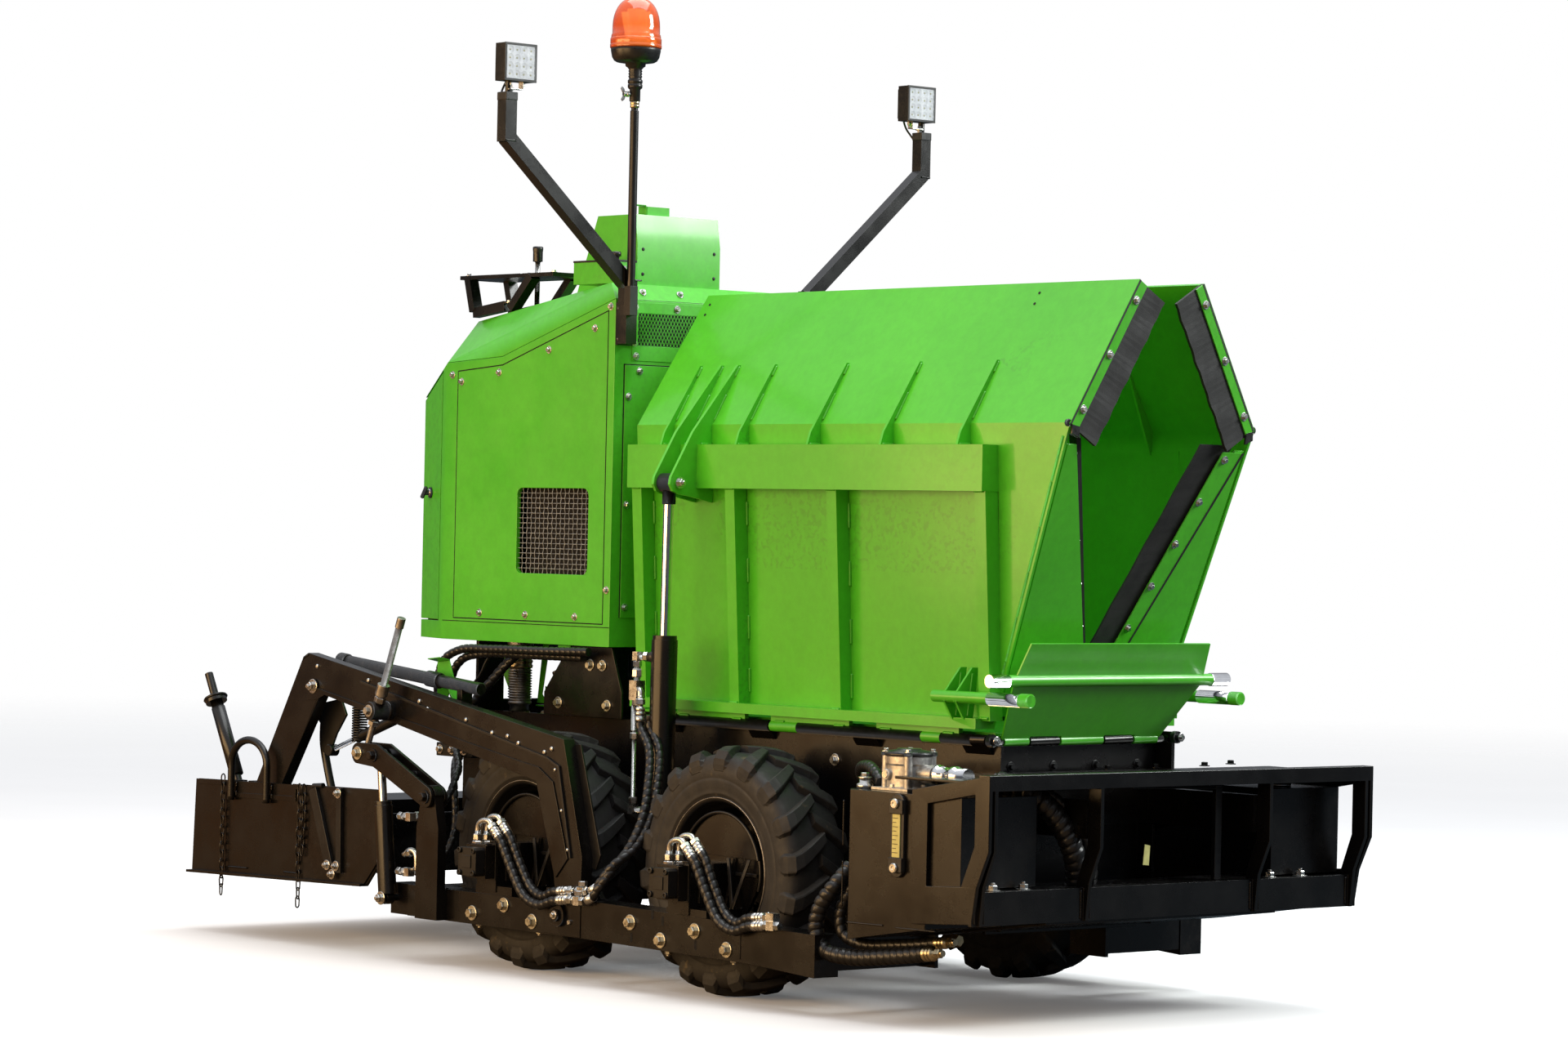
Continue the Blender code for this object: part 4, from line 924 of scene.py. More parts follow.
def door_trim():
    k = Kit()
    # latch with a T handle on the right chamfer
    n = Vector((-0.322, -0.947, 0)).normalized()
    p = Vector((-1.130, -0.3245, 1.379))
    k.rod(p - n * 0.001, p + n * 0.006, 0.017, 28, 0.002)
    k.rod(p + n * 0.005, p + n * 0.020, 0.0085, 20, 0.001)
    t = Vector((0.55, 0, 0.835)).normalized()
    k.rod(p + n * 0.022 - t * 0.020, p + n * 0.022 + t * 0.020, 0.0065, 16, 0.002)
    k.piece("door_latch", PLASTIC, "rear_door")
    k = Kit()
    k.turned([(0.0115, 0), (0.0115, 0.002), (0.009, 0.003), (0, 0.003)], p + n * 0.0055, n, 24)
    k.piece("latch_ring", ZINC, "rear_door")
    # rubber seal inside the door's lower edge
    k = Kit()
    for s in (-1, 1):
        k.slab([(-1.002, s * 0.3505, 0.976), (-1.1815, s * 0.2872, 0.976), (-1.1775, s * 0.2832, 0.976),
                (-0.998, s * 0.3465, 0.976)], (0, 0, 0.030))
    k.block(-1.1815, -1.1775, -0.2872, 0.2872, 0.976, 1.006)
    k.piece("door_seal", EDGE, "chassis")
    # hinge barrels on the door's own axis, half sunk in the corner
    for part, steps in (("rear_door", (1,)), ("chassis", (0, 2))):
        k = Kit()
        for z in (1.08, 1.60):
            for j in steps:
                k.rod((-1.0405, 0.352, z + 0.024 * j), (-1.0405, 0.352, z + 0.024 * j + 0.0225), 0.0195, 32,
                      0.001)
        k.piece("%s_hinge_barrels" % part, GREEN, part)


def console_trim():
    k = Kit()
    # folded hook on top of the console, screws, dark lid and knob of the lower box
    k.sheet([(-0.262, 2.2055), (-0.298, 2.2055), (-0.298, 2.2345), (-0.262, 2.2345)], -0.203, 0.002)
    k.slab([(-0.262, -0.240, 2.2345), (-0.298, -0.240, 2.2345), (-0.298, -0.203, 2.2345),
            (-0.262, -0.203, 2.2345)],
           (0, 0, 0.002))
    k.slab([(-0.262, -0.242, 2.2260), (-0.298, -0.242, 2.2260), (-0.298, -0.240, 2.2365),
            (-0.262, -0.240, 2.2365)],
           (0, 0.002, 0))
    k.piece("console_hook", GREEN, "chassis", 0.0006)
    k = Kit()
    for y in (-0.235, 0.038):
        k.turned([(0.0055, 0), (0.0052, 0.0014), (0.0028, 0.0022), (0, 0.0022)], (-0.2322, y, 2.103), X, 16)
        k.turned([(0.0055, 0), (0.0052, 0.0014), (0.0028, 0.0022), (0, 0.0022)], (-0.2322, y, 2.030), X, 16)
    k.block(-0.4215, -0.2310, -0.3465, -0.2575, 2.0622, 2.0680)
    k.piece("console_screws", SATIN, "chassis", 0.0008)
    k = Kit()
    k.rod((-0.262, -0.312, 2.068), (-0.262, -0.312, 2.078), 0.0090, 20)
    k.turned([(0.006, 0), (0.0145, 0.004), (0.0150, 0.012), (0.0125, 0.017), (0, 0.018)],
             (-0.262, -0.312, 2.076), Z, 24)
    k.piece("console_knob", PLASTIC, "chassis")
    k = Kit()
    k.rod((-0.231, -0.306, 2.045), (-0.226, -0.306, 2.045), 0.006, 16, 0.001)
    k.rod((-0.231, -0.290, 2.045), (-0.228, -0.290, 2.045), 0.003, 12)
    k.piece("console_lock", ZINC, "chassis")
    # lever of the stand: bright rod, ribbed knob, plate screws
    k = Kit()
    k.rod((-0.780, -0.200, 1.952), (-0.780, -0.200, 2.092), 0.0078, 20)
    for x, y in ((-1.030, -0.270), (-1.030, -0.130), (-0.610, -0.270), (-0.610, -0.130), (-0.86, -0.2)):
        k.bolt((x, y, 2.0442), Z, 0.011)
    for y in (-0.275, -0.125):
        k.bolt((-0.975, y, 1.9395), (-0.122, 0, 0.993), 0.012)
        k.bolt((-0.820, y, 1.9570), (-0.122, 0, 0.993), 0.012)
    k.piece("lever_rod", ZINC, "chassis")
    k = Kit()
    k.turned([(0.0085, 0.0), (0.0120, 0.002), (0.0125, 0.020), (0.0150, 0.030), (0.0162, 0.040),
              (0.0160, 0.0455),
              (0.0130, 0.0480), (0, 0.0482)], (-0.780, -0.200, 2.083), Z, 24)
    k.piece("lever_knob", PLASTIC, "chassis")


front_vent()
cabinet_bolts()
cabinet_seam_shade()
wire_vent()
door_trim()
console_trim()


# ---------------------------------------------------------------- masts, lamps and beacon
MAST_X = -0.161


def work_lamp(s, name):
    """Square LED lamp on a U bracket: finned body, bezel, rows of small reflectors with a painted glow behind a
    clear front.
    """
    cy, cz = s * 0.777, 2.602
    fx = MAST_X + 0.0225
    k = Kit()
    k.block(fx - 0.001, fx + 0.004, cy - 0.0575, cy + 0.0575, cz - 0.0545, cz - 0.0475)
    k.block(fx - 0.001, fx + 0.004, cy - 0.0575, cy + 0.0575, cz + 0.0475, cz + 0.0545)
    k.block(fx - 0.001, fx + 0.004, cy - 0.0575, cy - 0.0505, cz - 0.0476, cz + 0.0476)
    k.block(fx - 0.001, fx + 0.004, cy + 0.0505, cy + 0.0575, cz - 0.0476, cz + 0.0476)
    for i in range(7):
        y = cy - 0.045 + i * 0.015
        k.block(MAST_X - 0.034, MAST_X - 0.0215, y - 0.0015, y + 0.0015, cz - 0.045, cz + 0.045)
    k.piece("%s_lamp_bezel" % name, SATIN, "chassis", 0.0010)
    # reflectors with a painted glow, and the LEDs in them
    k = Kit()
    leds = Kit()
    for r in range(4):
        for c in range(4):
            y, z = cy - 0.0375 + c * 0.025, cz - 0.0345 + r * 0.023
            k.turned([(0.0118, 0.0030), (0.0100, 0.0010), (0.0055, 0.0003), (0.0020, 0.0001), (0.0, 0.0001)],
                     (fx, y, z), X, 14)
            leds.turned([(0.0030, 0.0), (0.0026, 0.0012), (0, 0.0016)], (fx + 0.0002, y, z), X, 10)
    k.block(fx - 0.0008, fx + 0.0001, cy - 0.0505, cy + 0.0505, cz - 0.0475, cz + 0.0475)
    k.piece("%s_lamp_reflectors" % name, GLOWING_REFLECTOR, "chassis")
    leds.piece("%s_lamp_leds" % name, LED, "chassis")
    k = Kit()
    k.block(fx + 0.0032, fx + 0.0044, cy - 0.0506, cy + 0.0506, cz - 0.0476, cz + 0.0476)
    k.piece("%s_lamp_front" % name, LENS, "chassis")
    # U bracket, its bolts and the stud through the mast's cap
    k = Kit()
    base = cz - 0.0750
    for d in (-1, 1):
        k.block(MAST_X - 0.011, MAST_X + 0.011, cy + d * 0.022 - 0.001, cy + d * 0.022 + 0.001, base,
                cz - 0.0515)
        k.bolt((MAST_X, cy + d * 0.0232, cz - 0.0610), (0, d, 0), 0.012)
    k.block(MAST_X - 0.011, MAST_X + 0.011, cy - 0.023, cy + 0.023, base - 0.001, base + 0.001)
    k.rod((MAST_X, s * 0.795, base - 0.020), (MAST_X, s * 0.795, base + 0.012), 0.0048, 14)
    k.bolt((MAST_X, s * 0.795, base - 0.001), (0, 0, -1), 0.015)
    k.bolt((MAST_X, s * 0.795, base + 0.001), (0, 0, 1), 0.013)
    k.piece("%s_lamp_bracket" % name, ZINC, "chassis")
    # mast cap, weld at the bend, foot bolts
    k = Kit()
    k.block(MAST_X - 0.0215, MAST_X + 0.0215, s * 0.803 - 0.0215, s * 0.803 + 0.0215, 2.493, 2.5165)
    k.piece("%s_mast_cap" % name, PLASTIC, "chassis", 0.002)
    k = Kit()
    k.weld((MAST_X + 0.0205, s * 0.786, 2.379), (MAST_X + 0.0205, s * 0.822, 2.379), 0.003)
    k.weld((MAST_X + 0.0205, s * 0.3135, 2.004), (MAST_X + 0.0205, s * 0.345, 2.004), 0.003)
    for z in (1.83, 1.93):
        k.weld((MAST_X - 0.0190, s * 0.3485, z - 0.005), (MAST_X - 0.0190, s * 0.3485, z + 0.012), 0.003)
    k.piece("%s_mast_welds" % name, BLACK, "chassis")
    k = Kit()
    for y, z in ((0.3570, 1.922), (0.3570, 1.832)):
        k.bolt((CAB_X1 + 0.010, s * y, z), X, 0.0125)
    k.bolt((CAB_X1 + 0.010, s * 0.3025, 1.8225), X, 0.0110)
    k.piece("%s_mast_bolts" % name, ZINC, "chassis")


def lamp_lead(s, name):
    """Short lead from the lamp's back into the mast's tube."""
    p = [(MAST_X - 0.030, s * 0.765, 2.575), (MAST_X - 0.046, s * 0.768, 2.560),
         (MAST_X - 0.050, s * 0.782, 2.532),
         (MAST_X - 0.042, s * 0.795, 2.510), (MAST_X - 0.030, s * 0.801, 2.492),
         (MAST_X - 0.0205, s * 0.803, 2.470)]
    k = Kit()
    k.tube(smooth_path(p, 0.004), 0.0032, 8)
    k.piece("%s_lamp_lead" % name, HOSE, "chassis")


def beacon():
    x, y = CAB_X1 + 0.0605, -0.362
    k = Kit()
    k.turned([(0, 1.902), (0.0120, 1.902), (0.0120, 2.010), (0.0125, 2.012), (0.0125, 2.494), (0.0115, 2.4955),
              (0.0102, 2.496), (0.0102, 2.512), (0, 2.512)], (x, y, 0), Z, 28)
    k.block(x - 0.0125, x + 0.0150, y - 0.0145, y + 0.0145, 1.900, 1.985)
    k.piece("beacon_pole", SATIN, "chassis", 0.0006)
    k = Kit()
    k.turned([(0.0102, 2.503), (0.0132, 2.504), (0.0132, 2.511), (0.0124, 2.512), (0.0132, 2.513),
              (0.0132, 2.5225),
              (0.0120, 2.5235), (0.0102, 2.5235)], (x, y, 0), Z, 28)
    k.piece("beacon_collar", BRASS, "chassis")
    k = Kit()
    k.turned([(0.0, 2.522), (0.0150, 2.522), (0.0158, 2.524), (0.0158, 2.556), (0.0200, 2.560), (0.0215, 2.563),
              (0.0215, 2.571), (0.0190, 2.573), (0.0215, 2.575), (0.0218, 2.583), (0.0190, 2.586),
              (0.0182, 2.590),
              (0.0205, 2.594), (0.0182, 2.598), (0.0205, 2.602), (0.0182, 2.606), (0.0205, 2.610),
              (0.0185, 2.614),
              (0.0230, 2.620), (0.0290, 2.624), (0.0300, 2.632), (0.0560, 2.636), (0.0630, 2.640),
              (0.0690, 2.650),
              (0.0725, 2.668), (0.0730, 2.680), (0.0, 2.680)], (x, y, 0), Z, 48)
    k.piece("beacon_stem", PLASTIC, "chassis")
    # amber dome, with a painted glow from its material
    k = Kit()
    dome = [(0.0, 2.676), (0.0745, 2.676), (0.0752, 2.678), (0.0752, 2.686), (0.0738, 2.6875), (0.0745, 2.689),
            (0.0745, 2.703), (0.0735, 2.705), (0.0720, 2.706), (0.0728, 2.708), (0.0716, 2.7095),
            (0.0724, 2.7115),
            (0.0710, 2.713), (0.0716, 2.715), (0.0694, 2.717)]
    dome += [(0.0690 * math.cos(w) ** 0.80, 2.740 + 0.0845 * math.sin(w)) for w in
             (math.radians(a) for a in (0, 10, 20, 30, 40, 50, 60, 70, 78, 85))] + [(0.0, 2.8245)]
    k.turned(dome, (x, y, 0), Z, 56)
    lens = k.piece("beacon_lens", AMBER_GLOW, "chassis")
    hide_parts("beacon")
    # reflector inside the dome, with a painted glow
    k = Kit()
    k.turned([(0, 2.682), (0.040, 2.682), (0.040, 2.700), (0.018, 2.702), (0.018, 2.780), (0, 2.780)],
             (x, y, 0), Z, 24)
    k.slab([(x - 0.002, y - 0.030, 2.704), (x - 0.002, y + 0.030, 2.704), (x - 0.012, y + 0.034, 2.774),
            (x - 0.012, y - 0.034, 2.774)], (0.003, 0, 0))
    k.piece("beacon_reflector", GLOWING_REFLECTOR, "chassis")
    k = Kit()
    # wing bolt of the clamp
    side = Vector((-0.25, -0.97, 0)).normalized()
    p = Vector((x, y, 2.542)) + side * 0.0150
    k.rod(p, p + side * 0.022, 0.0045, 14)
    k.rod(p + side * 0.004, p + side * 0.012, 0.0085, 18, 0.001)
    k.turned([(0, 0), (0.0080, 0), (0.0080, 0.008), (0, 0.008)], p + side * 0.014, side, 18)
    for d in (-1, 1):
        up = Vector((0, 0, d))
        a = p + side * 0.018
        k.slab([a - side * 0.003 + up * 0.004, a + side * 0.006 + up * 0.004, a + side * 0.012 + up * 0.016,
                a + side * 0.008 + up * 0.022, a + side * 0.001 + up * 0.016],
               side.cross(up) * 0.0035)
    k.piece("beacon_wing_bolt", ZINC, "chassis", 0.0008)


for s, name in SIDES:
    work_lamp(s, name)
    lamp_lead(s, name)
beacon()


# ---------------------------------------------------------------- hydraulic lines
def spiral(pitch=0.024, groove=0.84):
    def shape(dist, w):
        f = (dist / pitch - w / (2 * math.pi)) % 1.0
        return groove if f > 0.80 else 1.0 + 0.03 * math.sin(math.pi * f / 0.80)
    return shape


def hose(name, points, body, r=0.0135, guard=True, far=None):
    """Hose with a spiral guard; if far is given, the hose is taken off its body and keeps its place; the body, start
    and end in far are not read.
    """
    k = Kit()
    k.tube(smooth_path(points, 0.0034 if guard else 0.008), r, 14, shape=spiral() if guard else None)
    ob = k.piece(name, HOSE, body)
    if far:
        ob.parent = None
        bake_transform(ob)
    return ob


def ferrule(k, p, d, r=0.0140):
    """Crimped end of a hose with its hexagon; returns where the hexagon ends."""
    p, d = Vector(p), Vector(d).normalized()
    prof = [(0, -0.006), (r * 0.99, -0.006), (r, 0.0), (r, 0.009), (r * 0.92, 0.010), (r * 0.92, 0.012),
            (r, 0.013),
            (r, 0.021), (r * 0.92, 0.022), (r * 0.92, 0.024), (r, 0.025), (r, 0.033), (r * 0.80, 0.037),
            (r * 0.60, 0.038), (r * 0.60, 0.046), (0, 0.046)]
    k.turned(prof, p, d, 20)
    k.hexagon(p + d * 0.043, d, 0.024, 0.017, random.random())
    k.turned([(0, 0), (0.0085, 0), (0.0085, 0.010), (0, 0.010)], p + d * 0.058, d, 16)
    return p + d * 0.062


def motor_lines(s, name, xw, end, tail):
    """Two hoses from the motor's ports, dipping to the side beam and running on along it."""
    mx = xw - 0.030
    k = Kit()
    for j, (dy, lift) in enumerate(((0.757, 0.0), (0.733, 0.012))):
        y = s * dy
        px = mx - 0.016 + 0.012 * j
        port = Vector((px, y, 0.366))
        k.hexagon(port - Z * 0.004, Z, 0.027, 0.014, 0.2)
        k.hexagon(port + Z * 0.012, Z, 0.024, 0.018, 0.6)
        k.rod(port, port + Z * 0.038, 0.0092, 16)
        start = Vector((px + 0.062, y - s * 0.001, 0.424 + lift))
        d = Vector((0.72, 0, -0.69)).normalized()
        k.tube(smooth_path([port + Z * 0.034, port + Vector((0.004, 0, 0.056 + lift)),
                            port + Vector((0.024, 0, 0.068 + lift)),
                            start - d * 0.014, start], 0.004), 0.0086, 14)
        k.turned([(0, 0), (0.0085, 0), (0.0105, 0.004), (0.0085, 0.008), (0, 0.008)], start - d * 0.004, d, 16)
        # crimped end turned round: the hexagon is nearer the pipe
        k.hexagon(start, d, 0.024, 0.015, 0.3)
        k.turned([(0, 0), (0.011, 0), (0.0140, 0.003), (0.0140, 0.012), (0.0130, 0.013), (0.0130, 0.015),
                  (0.0140, 0.016),
                  (0.0140, 0.025), (0.0130, 0.026), (0.0130, 0.028), (0.0140, 0.029), (0.0140, 0.038),
                  (0, 0.038)],
                 start + d * 0.014, d, 20)
        a = start + d * 0.048
        e = Vector((xw + tail[j][0], s * tail[j][1], tail[j][2]))
        dx = e.x - a.x
        pts = [a - d * 0.010, a + d * 0.012, Vector((a.x + dx * 0.20, y - s * 0.003, a.z + (e.z - a.z) * 0.52)),
               Vector((a.x + dx * 0.42, y - s * 0.003, a.z + (e.z - a.z) * 0.93 - 0.010)),
               Vector((a.x + dx * 0.68, (y + e.y) / 2, e.z - 0.020)), e - Vector((0.030, 0, 0.004)),
               e + X * 0.004]
        hose("%s_%s_motor_hose_%d" % (end, name, j + 1), pts, "chassis")
        last = ferrule(k, e, (1, 0, 0.10))
        if end == "front":
            k.block(last.x - 0.004, last.x + 0.026, last.y - 0.012, last.y + 0.012, last.z - 0.012,
                    last.z + 0.012)
            if j == 0:
                k.hexagon(last + X * 0.026, X, 0.022, 0.014)
    k.piece("%s_%s_motor_fittings" % (end, name), ZINC, "chassis")


def motor_details(s, name, xw, end):
    """Gear motor: cover bolts, flange lines and end caps."""
    mx = xw - 0.030
    k = Kit()
    for x in (mx - 0.035, mx + 0.035):
        for z in (0.281, 0.355):
            k.rod((x, s * 0.700, z), (x, s * 0.7360, z), 0.0080, 16)
    k.block(mx - 0.050, mx + 0.050, s * 0.7380 - 0.004, s * 0.7380 + 0.004, 0.266, 0.370)
    k.block(mx - 0.052, mx + 0.052, s * 0.6980 - 0.006, s * 0.6980 + 0.006, 0.262, 0.374)
    k.sheet([(mx - 0.041, 0.284), (mx - 0.034, 0.277), (mx + 0.034, 0.277), (mx + 0.041, 0.284),
             (mx + 0.041, 0.352), (mx + 0.034, 0.359), (mx - 0.034, 0.359), (mx - 0.041, 0.352)], s * 0.7745,
             s * 0.0325)
    for x in (mx - 0.032, mx + 0.032):
        for z in (0.286, 0.350):
            k.turned([(0, 0), (0.0085, 0), (0.0085, 0.006), (0.0050, 0.0062), (0.0050, 0.003), (0, 0.003)],
                     (x, s * 0.8069, z),
                     (0, s, 0), 20)
    k.block(mx - 0.020, mx + 0.020, s * 0.8085 - 0.0018, s * 0.8085 + 0.0018, 0.300, 0.336)
    k.block(mx - 0.030, mx + 0.030, s * 0.757 - 0.014, s * 0.757 + 0.014, 0.362, 0.3685)
    k.piece("%s_%s_motor_details" % (end, name), SATIN, "chassis", 0.0012)


PIVOT_X, PIVOT_Z = 0.072, 0.189             # tow arm's pin in the beam
BEAM_FACE = 0.7350


def beam_trim(s, name):
    k = Kit()
    face = s * BEAM_FACE
    for x, z in ((-0.335, 0.163), (-0.186, 0.197), (-0.054, 0.160), (0.387, 0.192), (0.520, 0.153),
                 (0.665, 0.190),
                 (0.800, 0.150)):
        k.bolt((x, face, z), (0, s, 0), 0.024)
    for x in (-0.335, -0.054, 0.520, 0.800):
        k.bolt((x, s * 0.7080, 0.1345 if x < 0 else 0.1235), (0, 0, -1), 0.018, False, True)
    k.piece("%s_beam_bolts" % name, YZINC, "chassis")
    k = Kit()
    p = Vector((PIVOT_X, s * 0.7452, PIVOT_Z))
    k.rod(p - Y * s * 0.010, p + Y * s * 0.0035, 0.033, 32, 0.001)
    k.rod(p + Y * s * 0.003, p + Y * s * 0.012, 0.018, 24, 0.002)
    k.piece("%s_pivot_washer" % name, BLACK, "chassis")
    k = Kit()
    k.bolt(p + Y * s * 0.012, (0, s, 0), 0.013)
    k.bolt((0.122, face, 0.172), (0, s, 0), 0.013)
    k.piece("%s_pivot_bolts" % name, ZINC, "chassis")
    # painted shade: dark shapes on the beam where its slots are
    k = Kit()
    for x, z in ((0.392, 0.151), (0.669, 0.152), (0.482, 0.221), (0.527, 0.2070)):
        k.sheet([(x - 0.005, z - 0.011), (x, z - 0.014), (x + 0.005, z - 0.011), (x + 0.005, z + 0.011),
                 (x, z + 0.014), (x - 0.005, z + 0.011)], face, s * 0.0004)
    k.piece("%s_beam_slot_shade" % name, PAINTED_SHADE, "chassis")
    k = Kit()
    for x, z0, z1 in ((0.0045, 0.134, 0.222), (0.8560, 0.130, 0.218)):
        k.weld((x, s * 0.7352, z0), (x, s * 0.7352, z1), 0.0028)
    for x in (-0.560, -0.455):
        k.weld((x, s * 0.7355, 0.225), (x, s * 0.7455, 0.225), 0.003)
    for xw in AXLES:
        k.weld((xw - 0.082, s * 0.640, 0.2495), (xw + 0.082, s * 0.640, 0.2495), 0.004)
        k.weld((xw - 0.084, s * 0.6018, 0.2495), (xw + 0.084, s * 0.6018, 0.2495), 0.004)
    k.piece("%s_beam_welds" % name, BLACK, "chassis")
    k = Kit()
    # raised joint plates where the beam's lengths overlap
    k.sheet([(0.004, 0.1345), (0.166, 0.1315), (0.166, 0.2350), (0.150, 0.2620), (0.012, 0.2600),
             (0.004, 0.2350)], face, s * 0.0030)
    k.piece("%s_beam_plate" % name, BLACK, "chassis", 0.0008)


def carrier(s, name, xw, end):
    """Half-round carrier plate inside the rim, with its rolled edge, its gussets and the wheel's flange line."""
    k = Kit()
    path = [(xw + 0.148 * math.cos(math.radians(a)), s * 0.594, AXLE_Z + 0.148 * math.sin(math.radians(a)))
            for a in range(-18, 199, 6)]
    k.tube(path, 0.0055, 8)
    k.sheet([(xw - 0.145, 0.338), (xw + 0.145, 0.338), (xw + 0.145, 0.347), (xw - 0.145, 0.347)], s * 0.6005,
            s * 0.006)
    k.piece("%s_%s_carrier_edge" % (end, name), SATIN, "chassis", 0.0008)
    # half-round plate with a rolled edge, and the two gussets under it
    k = Kit()
    arc = [(xw + 0.163 * math.cos(math.radians(a)),
            AXLE_Z + 0.163 * math.sin(math.radians(a))) for a in range(14, 168, 6)]
    k.slab([(x, s * 0.6010, z) for x, z in arc], (0, s * 0.004, 0))
    k.piece("%s_%s_carrier_plate" % (end, name), BLACK, "chassis", 0.001)
    k = Kit()
    k.tube([(x, s * 0.612, z) for x, z in arc], 0.0050, 8)
    for (x0, x1) in ((0.030, 0.088), (0.118, 0.088)):
        k.slab([(xw + x0, s * 0.612, 0.385), (xw + x0 + 0.012, s * 0.612, 0.385),
                (xw + x1 + 0.006, s * 0.640, 0.2495),
                (xw + x1 - 0.006, s * 0.640, 0.2495)], (0, s * 0.005, 0))
    k.piece("%s_%s_carrier_rim" % (end, name), SATIN, "chassis", 0.0008)
    k = Kit()
    k.tube([(xw + 0.2035 * math.cos(2 * math.pi * i / 72), s * 0.6268,
             AXLE_Z + 0.2035 * math.sin(2 * math.pi * i / 72))
            for i in range(72)], 0.0016, 6, closed=True)
    k.piece("%s_%s_flange_line" % (end, name), STEEL, "%s_%s_wheel" % (end, name))


def tee_cluster(s, name):
    """Where the hoses of the rear motor and the hopper cylinder meet behind the arm's foot."""
    k = Kit()
    x0 = 0.205
    for y, z, lean in ((0.752, 0.236, 0.0), (0.738, 0.262, 0.25)):
        p = Vector((x0 - 0.028, s * y, z))
        k.block(p.x - 0.013, p.x + 0.013, p.y - 0.012, p.y + 0.012, p.z - 0.012, p.z + 0.012)
        k.hexagon(p + X * 0.012, (1, 0, lean), 0.024, 0.014)
        k.hexagon(p - X * 0.026, (1, 0, 0), 0.022, 0.014)
        k.rod(p + Z * 0.010, p + Z * 0.030, 0.0090, 16)
        k.hexagon(p + Z * 0.016, Z, 0.022, 0.014)
    k.piece("%s_hose_tees" % name, ZINC, "chassis")


def wing_lines(s, name):
    """Check valve with its fittings on the barrel, a bare pipe, and two hoses down to the side beam."""
    barrel = "%s_wing_barrel" % name
    cx, cy = CYL_X, s * 0.466
    out = Vector((-0.86, s * 0.51, 0)).normalized()
    k = Kit()
    port = Vector((cx, cy - s * 0.003, 0.918)) + out * 0.034
    k.turned([(0, 0), (0.017, 0), (0.019, 0.004), (0.019, 0.012), (0.015, 0.016), (0.0125, 0.026), (0, 0.026)],
             port, out, 22)
    k.piece("%s_wing_port" % name, PLASTIC, barrel)
    k = Kit()
    a = port + out * 0.022
    b = a + out * 0.034
    k.rod(a, b, 0.0090, 16)
    k.hexagon(a + out * 0.004, out, 0.024, 0.013)
    top = b + Vector((0, 0, 0.004))
    k.block(top.x - 0.011, top.x + 0.011, top.y - 0.011, top.y + 0.011, top.z - 0.015, top.z + 0.010)
    k.hexagon(top - Z * 0.032, Z, 0.022, 0.017)
    k.rod(top - Z * 0.075, top - Z * 0.010, 0.0100, 18)
    k.hexagon(top - Z * 0.062, Z, 0.026, 0.024, 0.4)
    body = top - Z * 0.100
    k.block(body.x - 0.016, body.x + 0.016, body.y - 0.016, body.y + 0.016, body.z - 0.028, body.z + 0.028)
    k.hexagon(body - Z * 0.042, Z, 0.024, 0.015, 0.1)
    # bare pipe with nuts, then an elbow back into the barrel's foot
    p0 = body - Z * 0.040 - X * 0.008
    p1 = Vector((p0.x, p0.y, 0.505))
    k.rod(p0 - Z * 0.030, p1, 0.0062, 16)
    k.rod(p0, p0 - Z * 0.075, 0.0105, 18, 0.002)
    k.hexagon(p0 - Z * 0.098, Z, 0.022, 0.018)
    k.hexagon(p1 - Z * 0.006, Z, 0.022, 0.020, 0.3)
    k.block(p1.x - 0.011, p1.x + 0.011, p1.y - 0.011, p1.y + 0.011, p1.z - 0.034, p1.z - 0.008)
    foot = Vector((cx, cy, p1.z - 0.021)) + out * 0.026
    k.rod(Vector((p1.x, p1.y, p1.z - 0.021)), Vector((foot.x, foot.y, p1.z - 0.021)), 0.0085, 16)
    side_port = body + Vector((0.014, s * 0.004, 0.004))
    q = side_port + Vector((0.014, s * 0.006, -0.024))
    k.tube(smooth_path([side_port, side_port + Vector((0.009, s * 0.003, -0.004)), q], 0.004), 0.0086, 14)
    ferrule(k, q + Vector((0.005, s * 0.004, -0.062)), (-0.06, -s * 0.05, 1.0))
    k.piece("%s_wing_fittings" % name, ZINC, barrel)
    for j, (dx, dy) in enumerate(((0.0, 0.0), (0.020, -0.020))):
        a = q + Vector((0.005 + dx, s * (0.004 + dy), -0.058))
        pts = [a + Z * 0.010, a - Z * 0.020, Vector((0.215 + dx, s * (0.540 + dy), 0.660)),
               Vector((0.262 + dx * 0.8, s * (0.580 + dy), 0.560)),
               Vector((0.288 + dx * 0.7, s * (0.620 + dy), 0.470)),
               Vector((0.292 + dx * 0.5, s * (0.668 + dy * 0.6), 0.390)),
               Vector((0.278 + dx * 0.3, s * (0.722 + dy * 0.3), 0.322 + 0.02 * j)),
               Vector((0.252, s * (0.748 - 0.014 * j), 0.270 + 0.026 * j)),
               Vector((0.236, s * (0.751 - 0.013 * j), 0.248 + 0.027 * j))]
        hose("%s_wing_hose_%d" % (name, j + 1), pts, "chassis", 0.0125,
             far=(barrel, (0, 0, 0.40), (0, 0, 0.66)))
    k = Kit()
    k.turned([(0, 0), (0.0135, 0), (0.0135, 0.03), (0.010, 0.034), (0, 0.034)], (0.240, s * 0.750, 0.252),
             (-0.9, 0, -0.43), 18)
    k.turned([(0, 0), (0.0135, 0), (0.0135, 0.03), (0.010, 0.034), (0, 0.034)], (0.240, s * 0.737, 0.279),
             (-0.9, 0, -0.43), 18)
    k.piece("%s_wing_hose_ends" % name, ZINC, "chassis")


for s, name in SIDES:
    for end, xw, tail in (("front", AXLES[0], ((0.318, 0.757, 0.226), (0.300, 0.742, 0.246))),
                          ("rear", AXLES[1], ((0.336, 0.7565, 0.232), (0.320, 0.742, 0.256)))):
        motor_lines(s, name, xw, end, tail)
        motor_details(s, name, xw, end)
        carrier(s, name, xw, end)
    beam_trim(s, name)
    tee_cluster(s, name)
    wing_lines(s, name)


